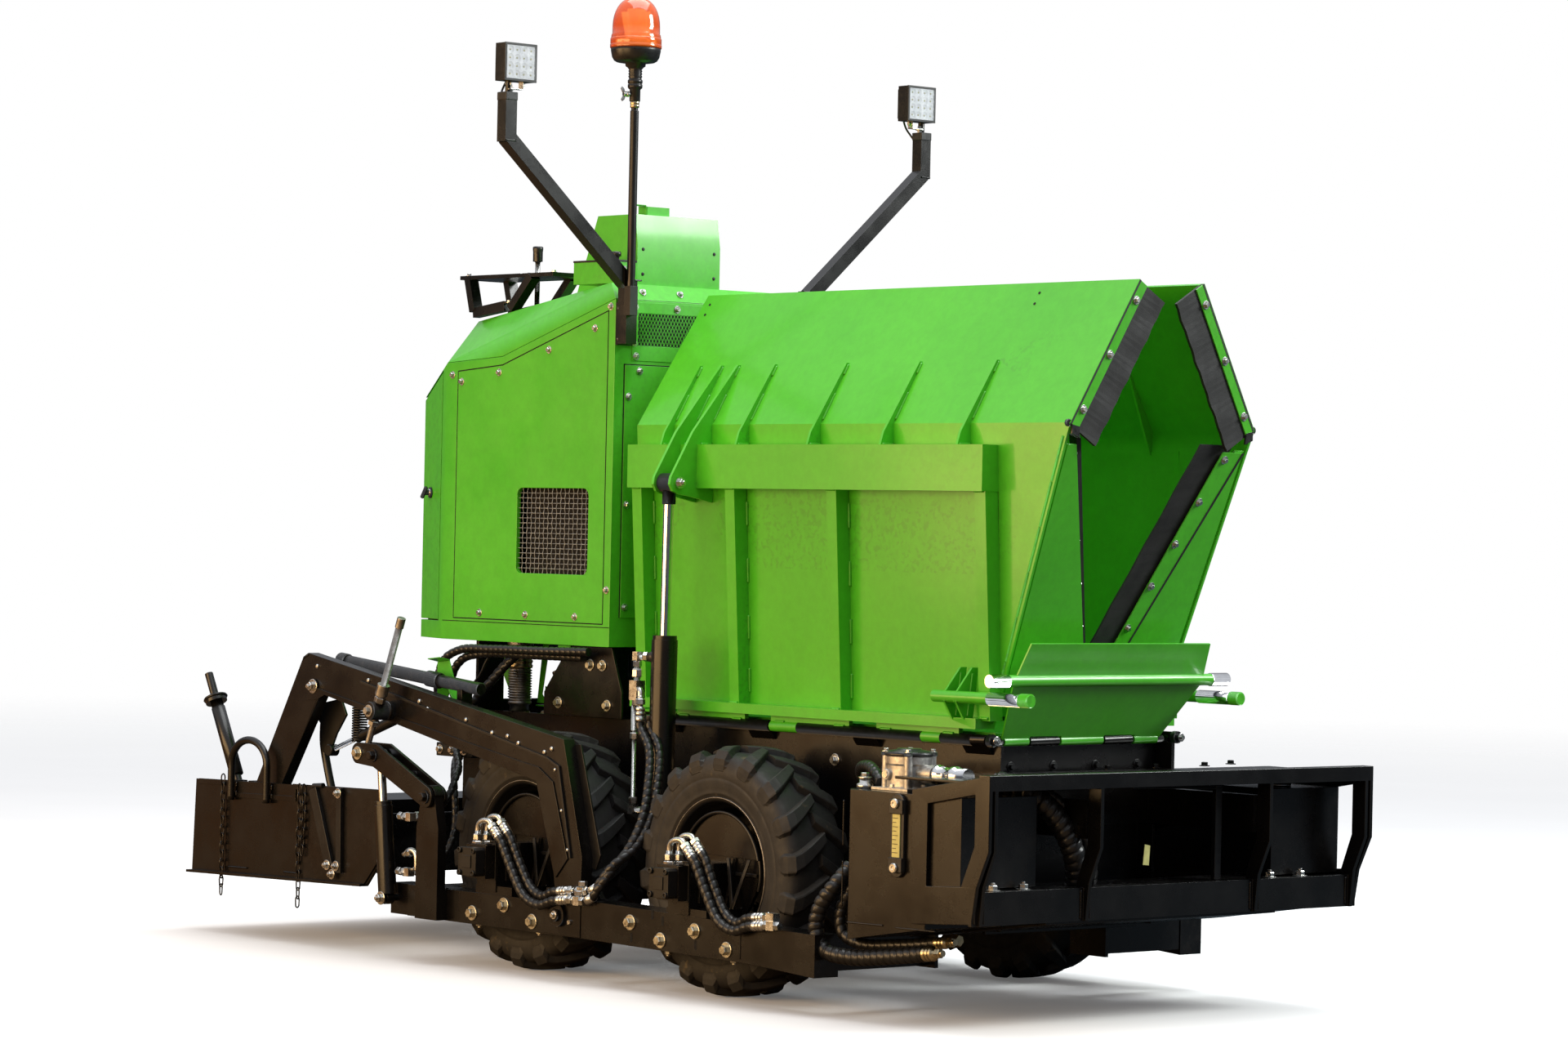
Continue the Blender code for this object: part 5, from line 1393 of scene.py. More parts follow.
# ---------------------------------------------------------------- below the cabinet
def exhaust():
    """Bellows of the exhaust pipe, and the wrap and clamp round it."""
    k = Kit()
    cx, cy = -0.760, -0.250
    prof = [(0.0, 0.700), (0.030, 0.700), (0.030, 0.742), (0.036, 0.744), (0.036, 0.752)]
    z = 0.754
    while z < 0.846:
        prof += [(0.0315, z), (0.0365, z + 0.0028), (0.0365, z + 0.0048), (0.0315, z + 0.0076)]
        z += 0.0080
    prof += [(0.032, 0.850), (0.032, 0.934), (0.0, 0.934)]
    k.turned(prof, (cx, cy, 0), Z, 30)
    k.piece("exhaust_bellows", STEEL, "chassis")
    k = Kit()
    rings = [(0.0, 0.853), (0.037, 0.853)]
    for i in range(10):
        rings.append((0.037 + 0.0022 * math.sin(i * 2.1), 0.856 + i * 0.0046))
    k.turned(rings + [(0.037, 0.903), (0.0, 0.903)], (cx, cy, 0), Z, 34)
    k.turned([(0.031, 0.706), (0.0325, 0.706), (0.0325, 0.722), (0.031, 0.722)], (cx, cy, 0), Z, 30)
    k.block(cx + 0.028, cx + 0.046, cy - 0.007, cy + 0.007, 0.708, 0.720)
    k.bolt((cx + 0.037, cy - 0.007, 0.714), (0, -1, 0), 0.010)
    k.piece("exhaust_clamps", BRASS, "chassis")


def underside_brackets():
    """Folded brackets beside the exhaust and below the cabinet's front."""
    k = Kit()
    k.sheet([(-0.985, 0.9325), (-0.905, 0.9325), (-0.826, 0.748), (-0.862, 0.748)], -0.195, 0.004)
    k.sheet([(-0.720, 0.9325), (-0.690, 0.9325), (-0.722, 0.775), (-0.700, 0.748), (-0.745, 0.748)], -0.195,
            0.004)
    k.block(-0.745, -0.590, -0.200, -0.110, 0.738, 0.7425)
    k.sheet([(-0.700, 0.742), (-0.595, 0.742), (-0.610, 0.757), (-0.700, 0.800)], -0.200, 0.004)
    k.block(-0.452, -0.394, -0.349, -0.344, 0.902, 0.9325)
    k.piece("underside_brackets", GREEN, "chassis", 0.0006)


def mount_plate():
    """Plate under the cabinet's front, with its bolts."""
    k = Kit()
    k.sheet([(-0.405, 0.9322), (-0.205, 0.9322), (-0.155, 0.800), (-0.155, 0.7262), (-0.520, 0.7262),
             (-0.520, 0.792)], -0.345, 0.008)
    k.piece("engine_mount_plate", BLACK, "chassis", 0.0008)
    k = Kit()
    for x, z in ((-0.302, 0.878), (-0.245, 0.878), (-0.450, 0.762), (-0.22, 0.762)):
        k.bolt((x, -0.345, z), (0, -1, 0), 0.019)
    k.bolt((-0.630, -0.258, 0.712), (0, -1, 0), 0.019)
    k.bolt((-0.602, -0.336, 0.905), (0, 0, -1), 0.020)
    k.piece("mount_bolts", YZINC, "chassis")


def pump_and_lines():
    """Pump, filter and valve shapes in the shade between the stands, and the hoses that leave them."""
    k = Kit()
    k.rod((-0.575, -0.150, 0.760), (-0.575, -0.150, 0.905), 0.040, 26, 0.004)
    k.rod((-0.455, -0.100, 0.800), (-0.455, -0.320, 0.800), 0.055, 26, 0.006)
    k.block(-0.700, -0.500, -0.09, 0.16, 0.728, 0.850)
    k.block(-0.470, -0.420, -0.300, -0.240, 0.830, 0.905)
    k.rod((-0.640, 0.060, 0.845), (-0.640, 0.060, 0.9325), 0.030, 20, 0.003)
    k.piece("hydraulic_pump", SATIN, "chassis", 0.002)
    for j, pts in enumerate((
            [(-0.250, -0.395, 0.918), (-0.480, -0.405, 0.914), (-0.700, -0.408, 0.912), (-0.850, -0.410, 0.905),
             (-0.930, -0.412, 0.870), (-0.952, -0.415, 0.815), (-0.940, -0.420, 0.750),
             (-0.900, -0.425, 0.690)],
            [(-0.300, -0.375, 0.900), (-0.560, -0.385, 0.899), (-0.760, -0.390, 0.896), (-0.862, -0.392, 0.876),
             (-0.905, -0.395, 0.830), (-0.890, -0.400, 0.760), (-0.860, -0.405, 0.680)],
            [(-0.640, -0.330, 0.912), (-0.680, -0.345, 0.880), (-0.735, -0.370, 0.820),
             (-0.790, -0.400, 0.750), (-0.830, -0.430, 0.680),
             (-0.850, -0.440, 0.610)],
            [(-0.680, -0.300, 0.912), (-0.722, -0.320, 0.880), (-0.778, -0.350, 0.810),
             (-0.830, -0.385, 0.735), (-0.868, -0.420, 0.660),
             (-0.885, -0.435, 0.600)])):
        hose("cabinet_hose_%d" % (j + 1), pts, "chassis", 0.0125)
    hose("cabinet_cable",
         [(-0.720, -0.350, 0.920), (-0.770, -0.366, 0.880), (-0.800, -0.372, 0.830), (-0.850, -0.380, 0.780),
                           (-0.875, -0.385, 0.735)], "chassis", 0.0040, False)
    k = Kit()
    k.block(-0.980, -0.700, -0.300, -0.255, 0.640, 0.700)
    k.block(-0.900, -0.720, -0.455, -0.300, 0.585, 0.625)
    k.rod((-0.700, -0.420, 0.640), (-0.860, -0.420, 0.660), 0.030, 20, 0.003)
    k.piece("valve_block", SATIN, "chassis", 0.002)
    k = Kit()
    for x in (-0.880, -0.820, -0.760):
        k.bolt((x, -0.4555, 0.605), (0, -1, 0), 0.016)
        k.rod((x, -0.38, 0.620), (x, -0.38, 0.650), 0.009, 16)
        k.hexagon((x, -0.38, 0.632), Z, 0.022, 0.014)
    k.piece("valve_fittings", ZINC, "chassis")


def rear_housing():
    """Housing between the frame's sides, seen between post and lift cylinder."""
    k = Kit()
    k.sheet([(-0.700, 0.200), (-0.640, 0.165), (-0.470, 0.165), (-0.430, 0.220), (-0.430, 0.419),
             (-0.620, 0.419), (-0.700, 0.370)], -0.400, 0.800)
    for y in (-0.400, 0.392):
        k.sheet([(-0.720, 0.190), (-0.650, 0.150), (-0.460, 0.150), (-0.415, 0.210), (-0.415, 0.419),
                 (-0.620, 0.419), (-0.720, 0.380)], y, 0.008)
    k.piece("rear_housing", SATIN, "chassis", 0.002)
    k = Kit()
    for s in (-1, 1):
        for x, z in ((-0.690, 0.215), (-0.690, 0.360), (-0.560, 0.172), (-0.440, 0.300), (-0.560, 0.400)):
            k.bolt((x, s * 0.4001, z), (0, s, 0), 0.017)
    k.piece("housing_bolts", ZINC, "chassis")


def frame_bolts():
    k = Kit()
    for s in (-1, 1):
        for x, z in ((0.985, 0.660), (0.770, 0.655), (-0.02, 0.650), (0.245, 0.610)):
            k.bolt((x, s * 0.3302, z), (0, s, 0), 0.019)
    k.piece("frame_bolts", ZINC, "chassis")


exhaust()
underside_brackets()
mount_plate()
pump_and_lines()
rear_housing()
frame_bolts()


# ---------------------------------------------------------------- arms, lift linkage and screed
ARM_FACE, PLATE_FACE, LINK_Y = 0.7111, 0.7216, 0.760


def arm_trim(s, name):
    f = s * ARM_FACE
    body = "screed"
    k = Kit()
    # raised band along the lower half of the arm, and the lip above it
    k.sheet([(-1.212, 0.788), (-0.150, 0.610), (-0.066, 0.598), (0.001, 0.560), (0.075, 0.345), (0.023, 0.290),
             (-0.066, 0.556), (-1.120, 0.760), (-1.158, 0.745), (-1.216, 0.742)], f, s * 0.0045)
    k.piece("%s_arm_band" % name, BLACK, body, 0.0008)
    k = Kit()
    k.sheet([(-0.935, 0.811), (-0.028, 0.6290), (0.030, 0.6060), (0.092, 0.350), (0.086, 0.348),
             (0.022, 0.6010), (-0.030, 0.6225), (-0.935, 0.8030)], f, s * 0.007)
    k.piece("%s_arm_lip" % name, SATIN, body, 0.0005)
    k = Kit()
    for x, z in ((-0.643, 0.7605), (-0.602, 0.7400), (-0.415, 0.7160), (-0.289, 0.6840), (-0.216, 0.6780),
                 (-0.165, 0.6600), (-0.043, 0.6410), (-0.010, 0.6520), (-1.164, 0.845), (-0.90, 0.812)):
        k.turned([(0, 0), (0.0075, 0), (0.0068, 0.0035), (0.0035, 0.0055), (0, 0.0055)],
                 (x, f + s * 0.0002, z), (0, s, 0), 14)
    for x, z in ((0.014, 0.594), (0.047, 0.480), (0.078, 0.371)):
        k.turned([(0, 0), (0.0055, 0), (0.0048, 0.0030), (0, 0.0045)], (x, f + s * 0.0062, z), (0, s, 0), 14)
    k.piece("%s_arm_screws" % name, ZINC, body)
    k = Kit()
    k.bolt((-1.179, f + s * 0.0042, 0.784), (0, s, 0), 0.024, True, True)
    k.piece("%s_arm_bolt" % name, ZINC, body)
    # inner plate set back behind the front leg
    k = Kit()
    k.sheet([(0.028, 0.668), (0.070, 0.668), (0.170, 0.360), (0.150, 0.320), (0.090, 0.330)], s * 0.672,
            -s * 0.006)
    k.piece("%s_arm_inner_plate" % name, SATIN, body, 0.0008)
    k = Kit()
    k.weld((-1.236, s * 0.7115, 0.868), (-1.214, s * 0.7115, 0.878), 0.003)
    k.weld((-1.150, s * 0.7115, 0.7560), (-1.385, s * 0.7115, 0.4150), 0.0025)
    k.piece("%s_arm_welds" % name, BLACK, body)


def handle_tube(s, name):
    """Long tube above the arm, on two feet, and the green tool bracket inside it."""
    y = s * 0.622
    k = Kit()
    d = Vector((0.815, 0, -0.071)).normalized()
    a = Vector((-1.161, y, 0.863))
    k.rod(a, a + d * 0.700, 0.0190, 24, 0.002)
    k.rod(a - d * 0.010, a + d * 0.030, 0.0230, 24, 0.003)
    k.rod(a + d * 0.440, a + d * 0.500, 0.0240, 24, 0.003)
    k.piece("%s_rail_tube" % name, BLACK, "screed")
    k = Kit()
    for t in (0.16, 0.62):
        p = a + d * t
        k.slab([(p.x - 0.012, y - 0.020, p.z - 0.010), (p.x + 0.012, y - 0.020, p.z - 0.010),
                (p.x + 0.012, y + 0.020, p.z - 0.010), (p.x - 0.012, y + 0.020, p.z - 0.010)], (0, 0, -0.045))
        k.slab([(p.x - 0.012, y + s * 0.010, p.z - 0.055), (p.x + 0.012, y + s * 0.010, p.z - 0.055),
                (p.x + 0.012, s * 0.672, p.z - 0.055), (p.x - 0.012, s * 0.672, p.z - 0.055)], (0, 0, 0.010))
    k.piece("%s_rail_feet" % name, BLACK, "screed", 0.001)
    k = Kit()
    # folded green tool bracket
    k.sheet([(-0.758, 0.872), (-0.700, 0.878), (-0.672, 0.815), (-0.600, 0.722), (-0.638, 0.722),
             (-0.696, 0.785), (-0.716, 0.750), (-0.755, 0.748)], s * 0.560, s * 0.004)
    k.slab([(-0.758, s * 0.560, 0.872), (-0.700, s * 0.560, 0.878), (-0.700, s * 0.600, 0.886),
            (-0.758, s * 0.600, 0.880)],
           (0, 0, 0.003))
    k.slab([(-0.672, s * 0.562, 0.815), (-0.600, s * 0.562, 0.722), (-0.600, s * 0.600, 0.722),
            (-0.672, s * 0.600, 0.815)],
           (0.003, 0, 0.002))
    k.slab([(-0.645, s * 0.556, 0.722), (-0.595, s * 0.556, 0.722), (-0.595, s * 0.672, 0.722),
            (-0.645, s * 0.672, 0.722)],
           (0, 0, -0.004))
    k.piece("%s_green_bracket" % name, GREEN, "screed", 0.0006)


def link_trim(s, name):
    link = "%s_lift_link" % name
    y = s * LINK_Y
    k = Kit()
    for (x, z), size in (((-0.504, 0.489), 0.024), ((-0.763, 0.597), 0.024)):
        for d in (-1, 1):
            k.rod((x, y + d * 0.0290, z), (x, y + d * 0.0335, z), 0.0200, 22, 0.001)
            k.hexagon((x, y + d * 0.0333, z), (0, d, 0), size, 0.013, 0.3)
    k.piece("%s_link_nuts" % name, BLACK, link)
    k = Kit()
    for d in (-1, 1):
        k.bolt((-0.840, y + d * 0.0290, 0.600), (0, d, 0), 0.022)
    k.piece("%s_link_bolt" % name, YZINC, link)


def spindle(s, name):
    """Bright upper rod, threaded lower rod, nuts, and the trunnion on the arm."""
    y = s * LINK_Y
    spin = "%s_lift_spindle" % name
    low, mid = Vector((-0.840, y, 0.600)), Vector((-0.788, y, 0.727))
    d = (mid - low).normalized()
    k = Kit()
    k.rod(mid + d * 0.075, mid + d * 0.292, 0.0106, 20, 0.002)
    k.piece("%s_spindle_handle" % name, STEEL, spin)
    k = Kit()
    turns = int((mid - low).length / 0.0035)
    a, b = low + d * 0.018, mid - d * 0.022
    k.tube([a.lerp(b, i / (turns * 2)) for i in range(turns * 2 + 1)], 0.0098, 14,
           shape=lambda dist, w: 1.0 + 0.06 * math.sin(2 * math.pi * dist / 0.0035 + w))
    k.tube([mid + d * (0.024 + 0.00175 * i) for i in range(18)], 0.0098, 14,
           shape=lambda dist, w: 1.0 + 0.06 * math.sin(2 * math.pi * dist / 0.0035 + w))
    k.hexagon(mid + d * 0.028, d, 0.030, 0.018, 0.2)
    k.hexagon(mid - d * 0.046, d, 0.030, 0.016, 0.5)
    k.piece("%s_spindle_thread" % name, STEEL, spin)
    k = Kit()
    k.rod((mid.x, s * 0.706, mid.z), (mid.x, s * 0.790, mid.z), 0.0275, 28, 0.002)
    k.turned([(0.0275, 0), (0.030, 0.002), (0.030, 0.008), (0.0275, 0.010)], (mid.x, s * 0.722, mid.z),
             (0, s, 0), 28)
    k.piece("%s_trunnion" % name, BLACK, spin)
    k = Kit()
    k.bolt((mid.x, s * 0.790, mid.z), (0, s, 0), 0.020)
    k.piece("%s_trunnion_bolt" % name, STEEL, spin)


def lift_lines(s, name):
    """Ports, elbows and hoses of the lift cylinder."""
    barrel = "%s_lift_barrel" % name
    k = Kit()
    for z in (0.424, 0.262):
        x0 = -0.683 + (z - 0.18) * 0.02
        k.hexagon((x0 + 0.016, s * 0.760, z), X, 0.022, 0.014)
        k.rod((x0 + 0.010, s * 0.760, z), (x0 + 0.060, s * 0.760, z), 0.0088, 16)
        k.hexagon((x0 + 0.044, s * 0.760, z), X, 0.024, 0.015, 0.4)
        k.block(x0 + 0.058, x0 + 0.080, s * 0.760 - 0.011, s * 0.760 + 0.011, z - 0.012, z + 0.012)
        k.rod((x0 + 0.069, s * 0.760, z), (x0 + 0.069, s * 0.720, z + 0.004), 0.0088, 16)
        k.hexagon((x0 + 0.069, s * 0.742, z + 0.002), (0, -s, 0.1), 0.022, 0.014)
    x0 = -0.660
    k.tube(smooth_path([(x0 + 0.010, s * 0.752, 0.310), (x0 + 0.040, s * 0.750, 0.326),
                        (x0 + 0.062, s * 0.748, 0.318),
                        (x0 + 0.068, s * 0.748, 0.290), (x0 + 0.068, s * 0.748, 0.266)], 0.005), 0.0080, 12)
    k.hexagon((x0 + 0.030, s * 0.751, 0.316), (1, 0, 0.3), 0.022, 0.014)
    k.piece("%s_lift_fittings" % name, ZINC, barrel)
    for j, z in enumerate((0.428, 0.266)):
        x = -0.683 + (z - 0.18) * 0.02 + 0.069
        hose("%s_lift_hose_%d" % (name, j + 1),
             [(x, s * 0.728, z), (x + 0.004, s * 0.700, z + 0.006), (x + 0.006, s * 0.640, z + 0.040),
              (x - 0.010, s * 0.590, z + 0.110), (x - 0.050 - 0.02 * j, s * 0.550, 0.560 - 0.02 * j),
              (x - 0.130, s * 0.500, 0.610 - 0.03 * j),
              (x - 0.190, s * 0.440, 0.612 - 0.03 * j)], "chassis", 0.0105,
             far=(barrel, (0, s * 0.58, 0), (0, s * 0.72, 0)))
    k = Kit()
    k.bolt((-0.715, s * 0.7840, 0.180), (0, s, 0), 0.022, True, True)
    k.piece("%s_lift_pin_nut" % name, ZINC, "chassis")


def chain(k, start, links, drop=0.0262, turn0=0, sway=0.0):
    """Hanging chain of steel links, every other one turned a quarter."""
    x, y, z = start
    for i in range(links):
        c = Vector((x + sway * math.sin(i * 0.7), y, z - i * drop))
        pts = []
        for a in range(12):
            w = 2 * math.pi * a / 12
            u, v = 0.0068 * math.cos(w), 0.0115 * math.sin(w) + (0.0060 if math.sin(w) >= 0 else -0.0060)
            pts.append(c + (Vector((u, 0, v)) if (i + turn0) % 2 else Vector((0, u, v))))
        k.tube(pts, 0.0023, 6, closed=True)


def plate_trim(s, name):
    body = "screed"
    f = s * PLATE_FACE
    k = Kit()
    # stiffening strap along the plate's upper edge, second plate lapped over the first
    k.sheet([(-1.768, 0.474), (-1.600, 0.4775), (-1.596, 0.440), (-1.262, 0.447), (-1.262, 0.4845),
             (-0.806, 0.492), (-0.806, 0.476), (-1.246, 0.468), (-1.246, 0.432), (-1.612, 0.425),
             (-1.616, 0.460), (-1.768, 0.458)], f, s * 0.004)
    k.sheet([(-1.236, 0.482), (-0.806, 0.490), (-0.795, 0.300), (-0.886, 0.204), (-1.236, 0.196)], f,
            s * 0.0045)
    k.piece("%s_plate_straps" % name, BLACK, body, 0.0008)
    k = Kit()
    path = [(-1.576, s * 0.736, 0.418), (-1.576, s * 0.736, 0.520)]
    for a in range(0, 181, 15):
        w = math.radians(180 - a)
        path.append((-1.481 + 0.095 * math.cos(w), s * 0.736, 0.532 + 0.075 * math.sin(w)))
    path += [(-1.386, s * 0.736, 0.520), (-1.386, s * 0.736, 0.418)]
    k.tube(smooth_path(path, 0.012), 0.0115, 16)
    k.piece("%s_lifting_eye" % name, BLACK, body)
    k = Kit()
    for x in (-1.576, -1.386):
        for z in (0.430, 0.458):
            k.weld((x - 0.013, s * 0.7255, z), (x - 0.013, s * 0.7255, z + 0.016), 0.003)
            k.weld((x + 0.013, s * 0.7255, z), (x + 0.013, s * 0.7255, z + 0.016), 0.003)
    k.weld((-1.60, s * 0.7240, 0.2100), (-1.50, s * 0.7240, 0.2115), 0.003)
    k.weld((-1.30, s * 0.7240, 0.2140), (-1.20, s * 0.7240, 0.2150), 0.003)
    k.piece("%s_plate_welds" % name, BLACK, body)
    k = Kit()
    chain(k, (-1.626, s * 0.732, 0.478), 14, 0.0262)
    chain(k, (-1.216, s * 0.732, 0.470), 14, 0.0262, 1, 0.003)
    chain(k, (-1.190, s * 0.734, 0.470), 8, 0.0262, 0, 0.004)
    k.piece("%s_chains" % name, BLACK, body)
    # strut bar and upright with their bolts
    k = Kit()
    for (x0, z0), (x1, z1), w in (((-1.142, 0.476), (-1.050, 0.250), 0.019),
                                  ((-1.006, 0.486), (-1.000, 0.232), 0.012)):
        d = Vector((x1 - x0, 0, z1 - z0)).normalized()
        n = Vector((-d.z, 0, d.x)) * w
        a, b = Vector((x0, s * 0.7265, z0)), Vector((x1, s * 0.7265, z1))
        k.slab([a - n, b - n, b + n, a + n], (0, s * 0.0120, 0))
    k.rod((-1.150, s * 0.7265, 0.484), (-1.100, s * 0.7265, 0.488), 0.008, 14)
    k.piece("%s_plate_struts" % name, SATIN, body, 0.0012)
    k = Kit()
    for x, z in ((-1.006, 0.470), (-1.056, 0.252), (-1.010, 0.252), (-1.030, 0.226)):
        k.bolt((x, s * 0.7385, z), (0, s, 0), 0.017, True, True)
    k.piece("%s_plate_bolts" % name, ZINC, body)


def adjuster(s, name):
    """Spring and cylinder between arm and screed."""
    body = "screed"
    k = Kit()
    coil = [(-1.040 + 0.022 * math.cos(i * 0.62), s * 0.640 + 0.022 * math.sin(i * 0.62),
             0.735 - i * 0.00075) for i in range(150)]
    k.tube(coil, 0.0028, 6)
    k.piece("%s_return_spring" % name, SATIN, body)
    k = Kit()
    a, b = Vector((-1.160, s * 0.640, 0.596)), Vector((-1.040, s * 0.640, 0.636))
    k.rod(a, b, 0.0080, 18)
    k.piece("%s_adjuster_rod" % name, CHROME, body)
    k = Kit()
    d = (b - a).normalized()
    k.rod(b - d * 0.010, b + d * 0.190, 0.0155, 22, 0.002)
    k.rod(a - d * 0.020 - Y * s * 0.016, a - d * 0.020 + Y * s * 0.016, 0.018, 22, 0.002)
    k.tube(smooth_path([(-1.262, s * 0.612, 0.700), (-1.264, s * 0.612, 0.610), (-1.240, s * 0.612, 0.530),
                        (-1.205, s * 0.612, 0.440)], 0.01), 0.0125, 12)
    k.sheet([(-1.290, 0.720), (-1.130, 0.748), (-1.100, 0.700), (-1.150, 0.640), (-1.180, 0.585),
             (-1.225, 0.580), (-1.225, 0.660)], s * 0.640, s * 0.008)
    k.piece("%s_adjuster" % name, SATIN, body, 0.001)


def crank(s, name):
    """Disc with its rolled rim, thin rod above."""
    k = Kit()
    d = Vector((-0.474, 0, 0.881)).normalized()
    c = Vector((-1.738, s * 0.690, 0.722))
    k.turned([(0.013, -0.012), (0.022, -0.006), (0.037, 0.000), (0.0385, 0.003), (0.0365, 0.007),
              (0.020, 0.005), (0.013, 0.010)], c, d, 32)
    k.rod(c + d * 0.005, c + d * 0.088, 0.0085, 18, 0.002)
    k.turned([(0.0190, -0.262), (0.0215, -0.260), (0.0215, -0.030), (0.0195, -0.028), (0.0195, -0.012),
              (0.013, -0.010)], c, d, 24)
    k.piece("%s_crank" % name, BLACK, "screed")


for s, name in SIDES:
    arm_trim(s, name)
    handle_tube(s, name)
    link_trim(s, name)
    spindle(s, name)
    lift_lines(s, name)
    plate_trim(s, name)
    adjuster(s, name)
    crank(s, name)


# ---------------------------------------------------------------- tanks, bumper and deck
def return_filter():
    cx, cy = 1.365, -0.600
    k = Kit()
    k.turned([(0, 0.6102), (0.070, 0.6102), (0.070, 0.618), (0.058, 0.620), (0.058, 0.676), (0.062, 0.680),
              (0.062, 0.700), (0, 0.700)],
             (cx, cy, 0), Z, 40)
    for a in range(4):
        w = math.radians(45 + 90 * a)
        k.rod((cx + 0.060 * math.cos(w), cy + 0.060 * math.sin(w), 0.6105),
              (cx + 0.060 * math.cos(w), cy + 0.060 * math.sin(w), 0.706), 0.0115, 16, 0.002)
    k.rod((cx + 0.050, cy, 0.656), (cx + 0.112, cy, 0.656), 0.0240, 26, 0.002)
    k.rod((cx - 0.020, cy - 0.052, 0.652), (cx - 0.020, cy - 0.066, 0.652), 0.0150, 22, 0.002)
    k.block(cx - 0.070, cx + 0.070, cy - 0.070, cy + 0.070, 0.6102, 0.6180)
    body = k.piece("filter_body", CAST, "chassis", 0.0015)
    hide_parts("return_filter")
    k = Kit()
    k.turned([(0, 0.7002), (0.064, 0.7002), (0.066, 0.702), (0.066, 0.708), (0.060, 0.713), (0.034, 0.717),
              (0.032, 0.720), (0, 0.720)],
             (cx, cy, 0), Z, 40)
    for a in range(4):
        w = math.radians(45 + 90 * a)
        k.rod((cx + 0.062 * math.cos(w), cy + 0.062 * math.sin(w), 0.7003),
              (cx + 0.062 * math.cos(w), cy + 0.062 * math.sin(w), 0.711), 0.0125, 16, 0.002)
    k.piece("filter_lid", PLASTIC, "chassis")
    k = Kit()
    for a in range(4):
        w = math.radians(45 + 90 * a)
        k.bolt((cx + 0.062 * math.cos(w), cy + 0.062 * math.sin(w), 0.711), Z, 0.012)
        k.bolt((cx + 0.058 * math.cos(w - 0.78), cy + 0.058 * math.sin(w - 0.78), 0.6182), Z, 0.013)
    k.rod((cx - 0.020, cy - 0.066, 0.652), (cx - 0.020, cy - 0.069, 0.652), 0.0105, 6)
    k.piece("filter_bolts", ZINC, "chassis")
    # bright flange fitting, pointing out to the front
    k = Kit()
    p = Vector((cx + 0.108, cy, 0.656))
    k.turned([(0, 0), (0.0270, 0), (0.0270, 0.014), (0.0225, 0.018), (0.0225, 0.060), (0.0262, 0.064),
              (0.0262, 0.080), (0.0215, 0.084),
              (0.0215, 0.120), (0, 0.120)], p, X, 28)
    k.hexagon(p + X * 0.020, X, 0.042, 0.020)
    k.piece("filter_fitting", CHROME, "chassis")
    # breather and its base, hoses behind the filter
    k = Kit()
    k.turned([(0, 0.6102), (0.022, 0.6102), (0.022, 0.622), (0.015, 0.626), (0.015, 0.640), (0, 0.640)],
             (1.262, -0.662, 0), Z, 24)
    k.bolt((1.262, -0.662, 0.638), Z, 0.020)
    k.bolt((1.250, -0.560, 0.6102), Z, 0.018)
    k.hexagon((1.278, -0.520, 0.6102), Z, 0.030, 0.020)
    k.piece("tank_fittings", ZINC, "chassis")
    hose("tank_hose_1",
         [(1.300, -0.640, 0.628), (1.270, -0.625, 0.645), (1.200, -0.590, 0.664), (1.110, -0.540, 0.655),
          (1.050, -0.480, 0.625),
                         (1.030, -0.420, 0.590), (1.020, -0.350, 0.560)], "chassis", 0.0145)
    hose("tank_hose_2",
         [(1.278, -0.520, 0.640), (1.240, -0.510, 0.662), (1.170, -0.480, 0.664), (1.090, -0.440, 0.640),
          (1.040, -0.390, 0.600),
                         (1.020, -0.345, 0.560)], "chassis", 0.0125)
    k = Kit()
    k.bolt((1.118, -0.330, 0.680), (0, -1, 0), 0.020)
    k.piece("frame_front_bolt", ZINC, "chassis")


def level_gauge():
    x, f = 1.457, -0.7136
    k = Kit()
    pts = []
    for cz, a0 in ((0.583, 0), (0.416, 180)):
        for i in range(9):
            w = math.radians(a0 + i * 22.5)
            pts.append((x + 0.0255 * math.cos(w), f, cz + 0.0255 * math.sin(w)))
    k.slab(pts, (0, -0.010, 0))
    k.block(x - 0.0255, x + 0.0255, f - 0.0165, f - 0.0095, 0.556, 0.594)
    k.block(x - 0.0255, x + 0.0255, f - 0.0165, f - 0.0095, 0.405, 0.443)
    k.piece("gauge_body", PLASTIC, "chassis", 0.002)
    k = Kit()
    k.block(x - 0.0145, x + 0.0145, f - 0.0135, f - 0.0095, 0.4435, 0.5555)
    k.piece("gauge_glass", SIGHT, "chassis", 0.001)
    k = Kit()
    for i in range(9):
        z = 0.455 + i * 0.0112
        k.block(x - 0.0125, x + (0.002 if i % 2 else 0.008), f - 0.0139, f - 0.0134, z, z + 0.0016)
    k.piece("gauge_scale", PLASTIC, "chassis")
    k = Kit()
    for z in (0.583, 0.416):
        k.turned([(0, 0), (0.0135, 0), (0.0135, 0.005), (0.011, 0.008), (0.0055, 0.008), (0.0055, 0.0055),
                  (0, 0.0055)],
                 (x, f - 0.0160, z), (0, -1, 0), 26)
    k.piece("gauge_bolts", ZINC, "chassis")


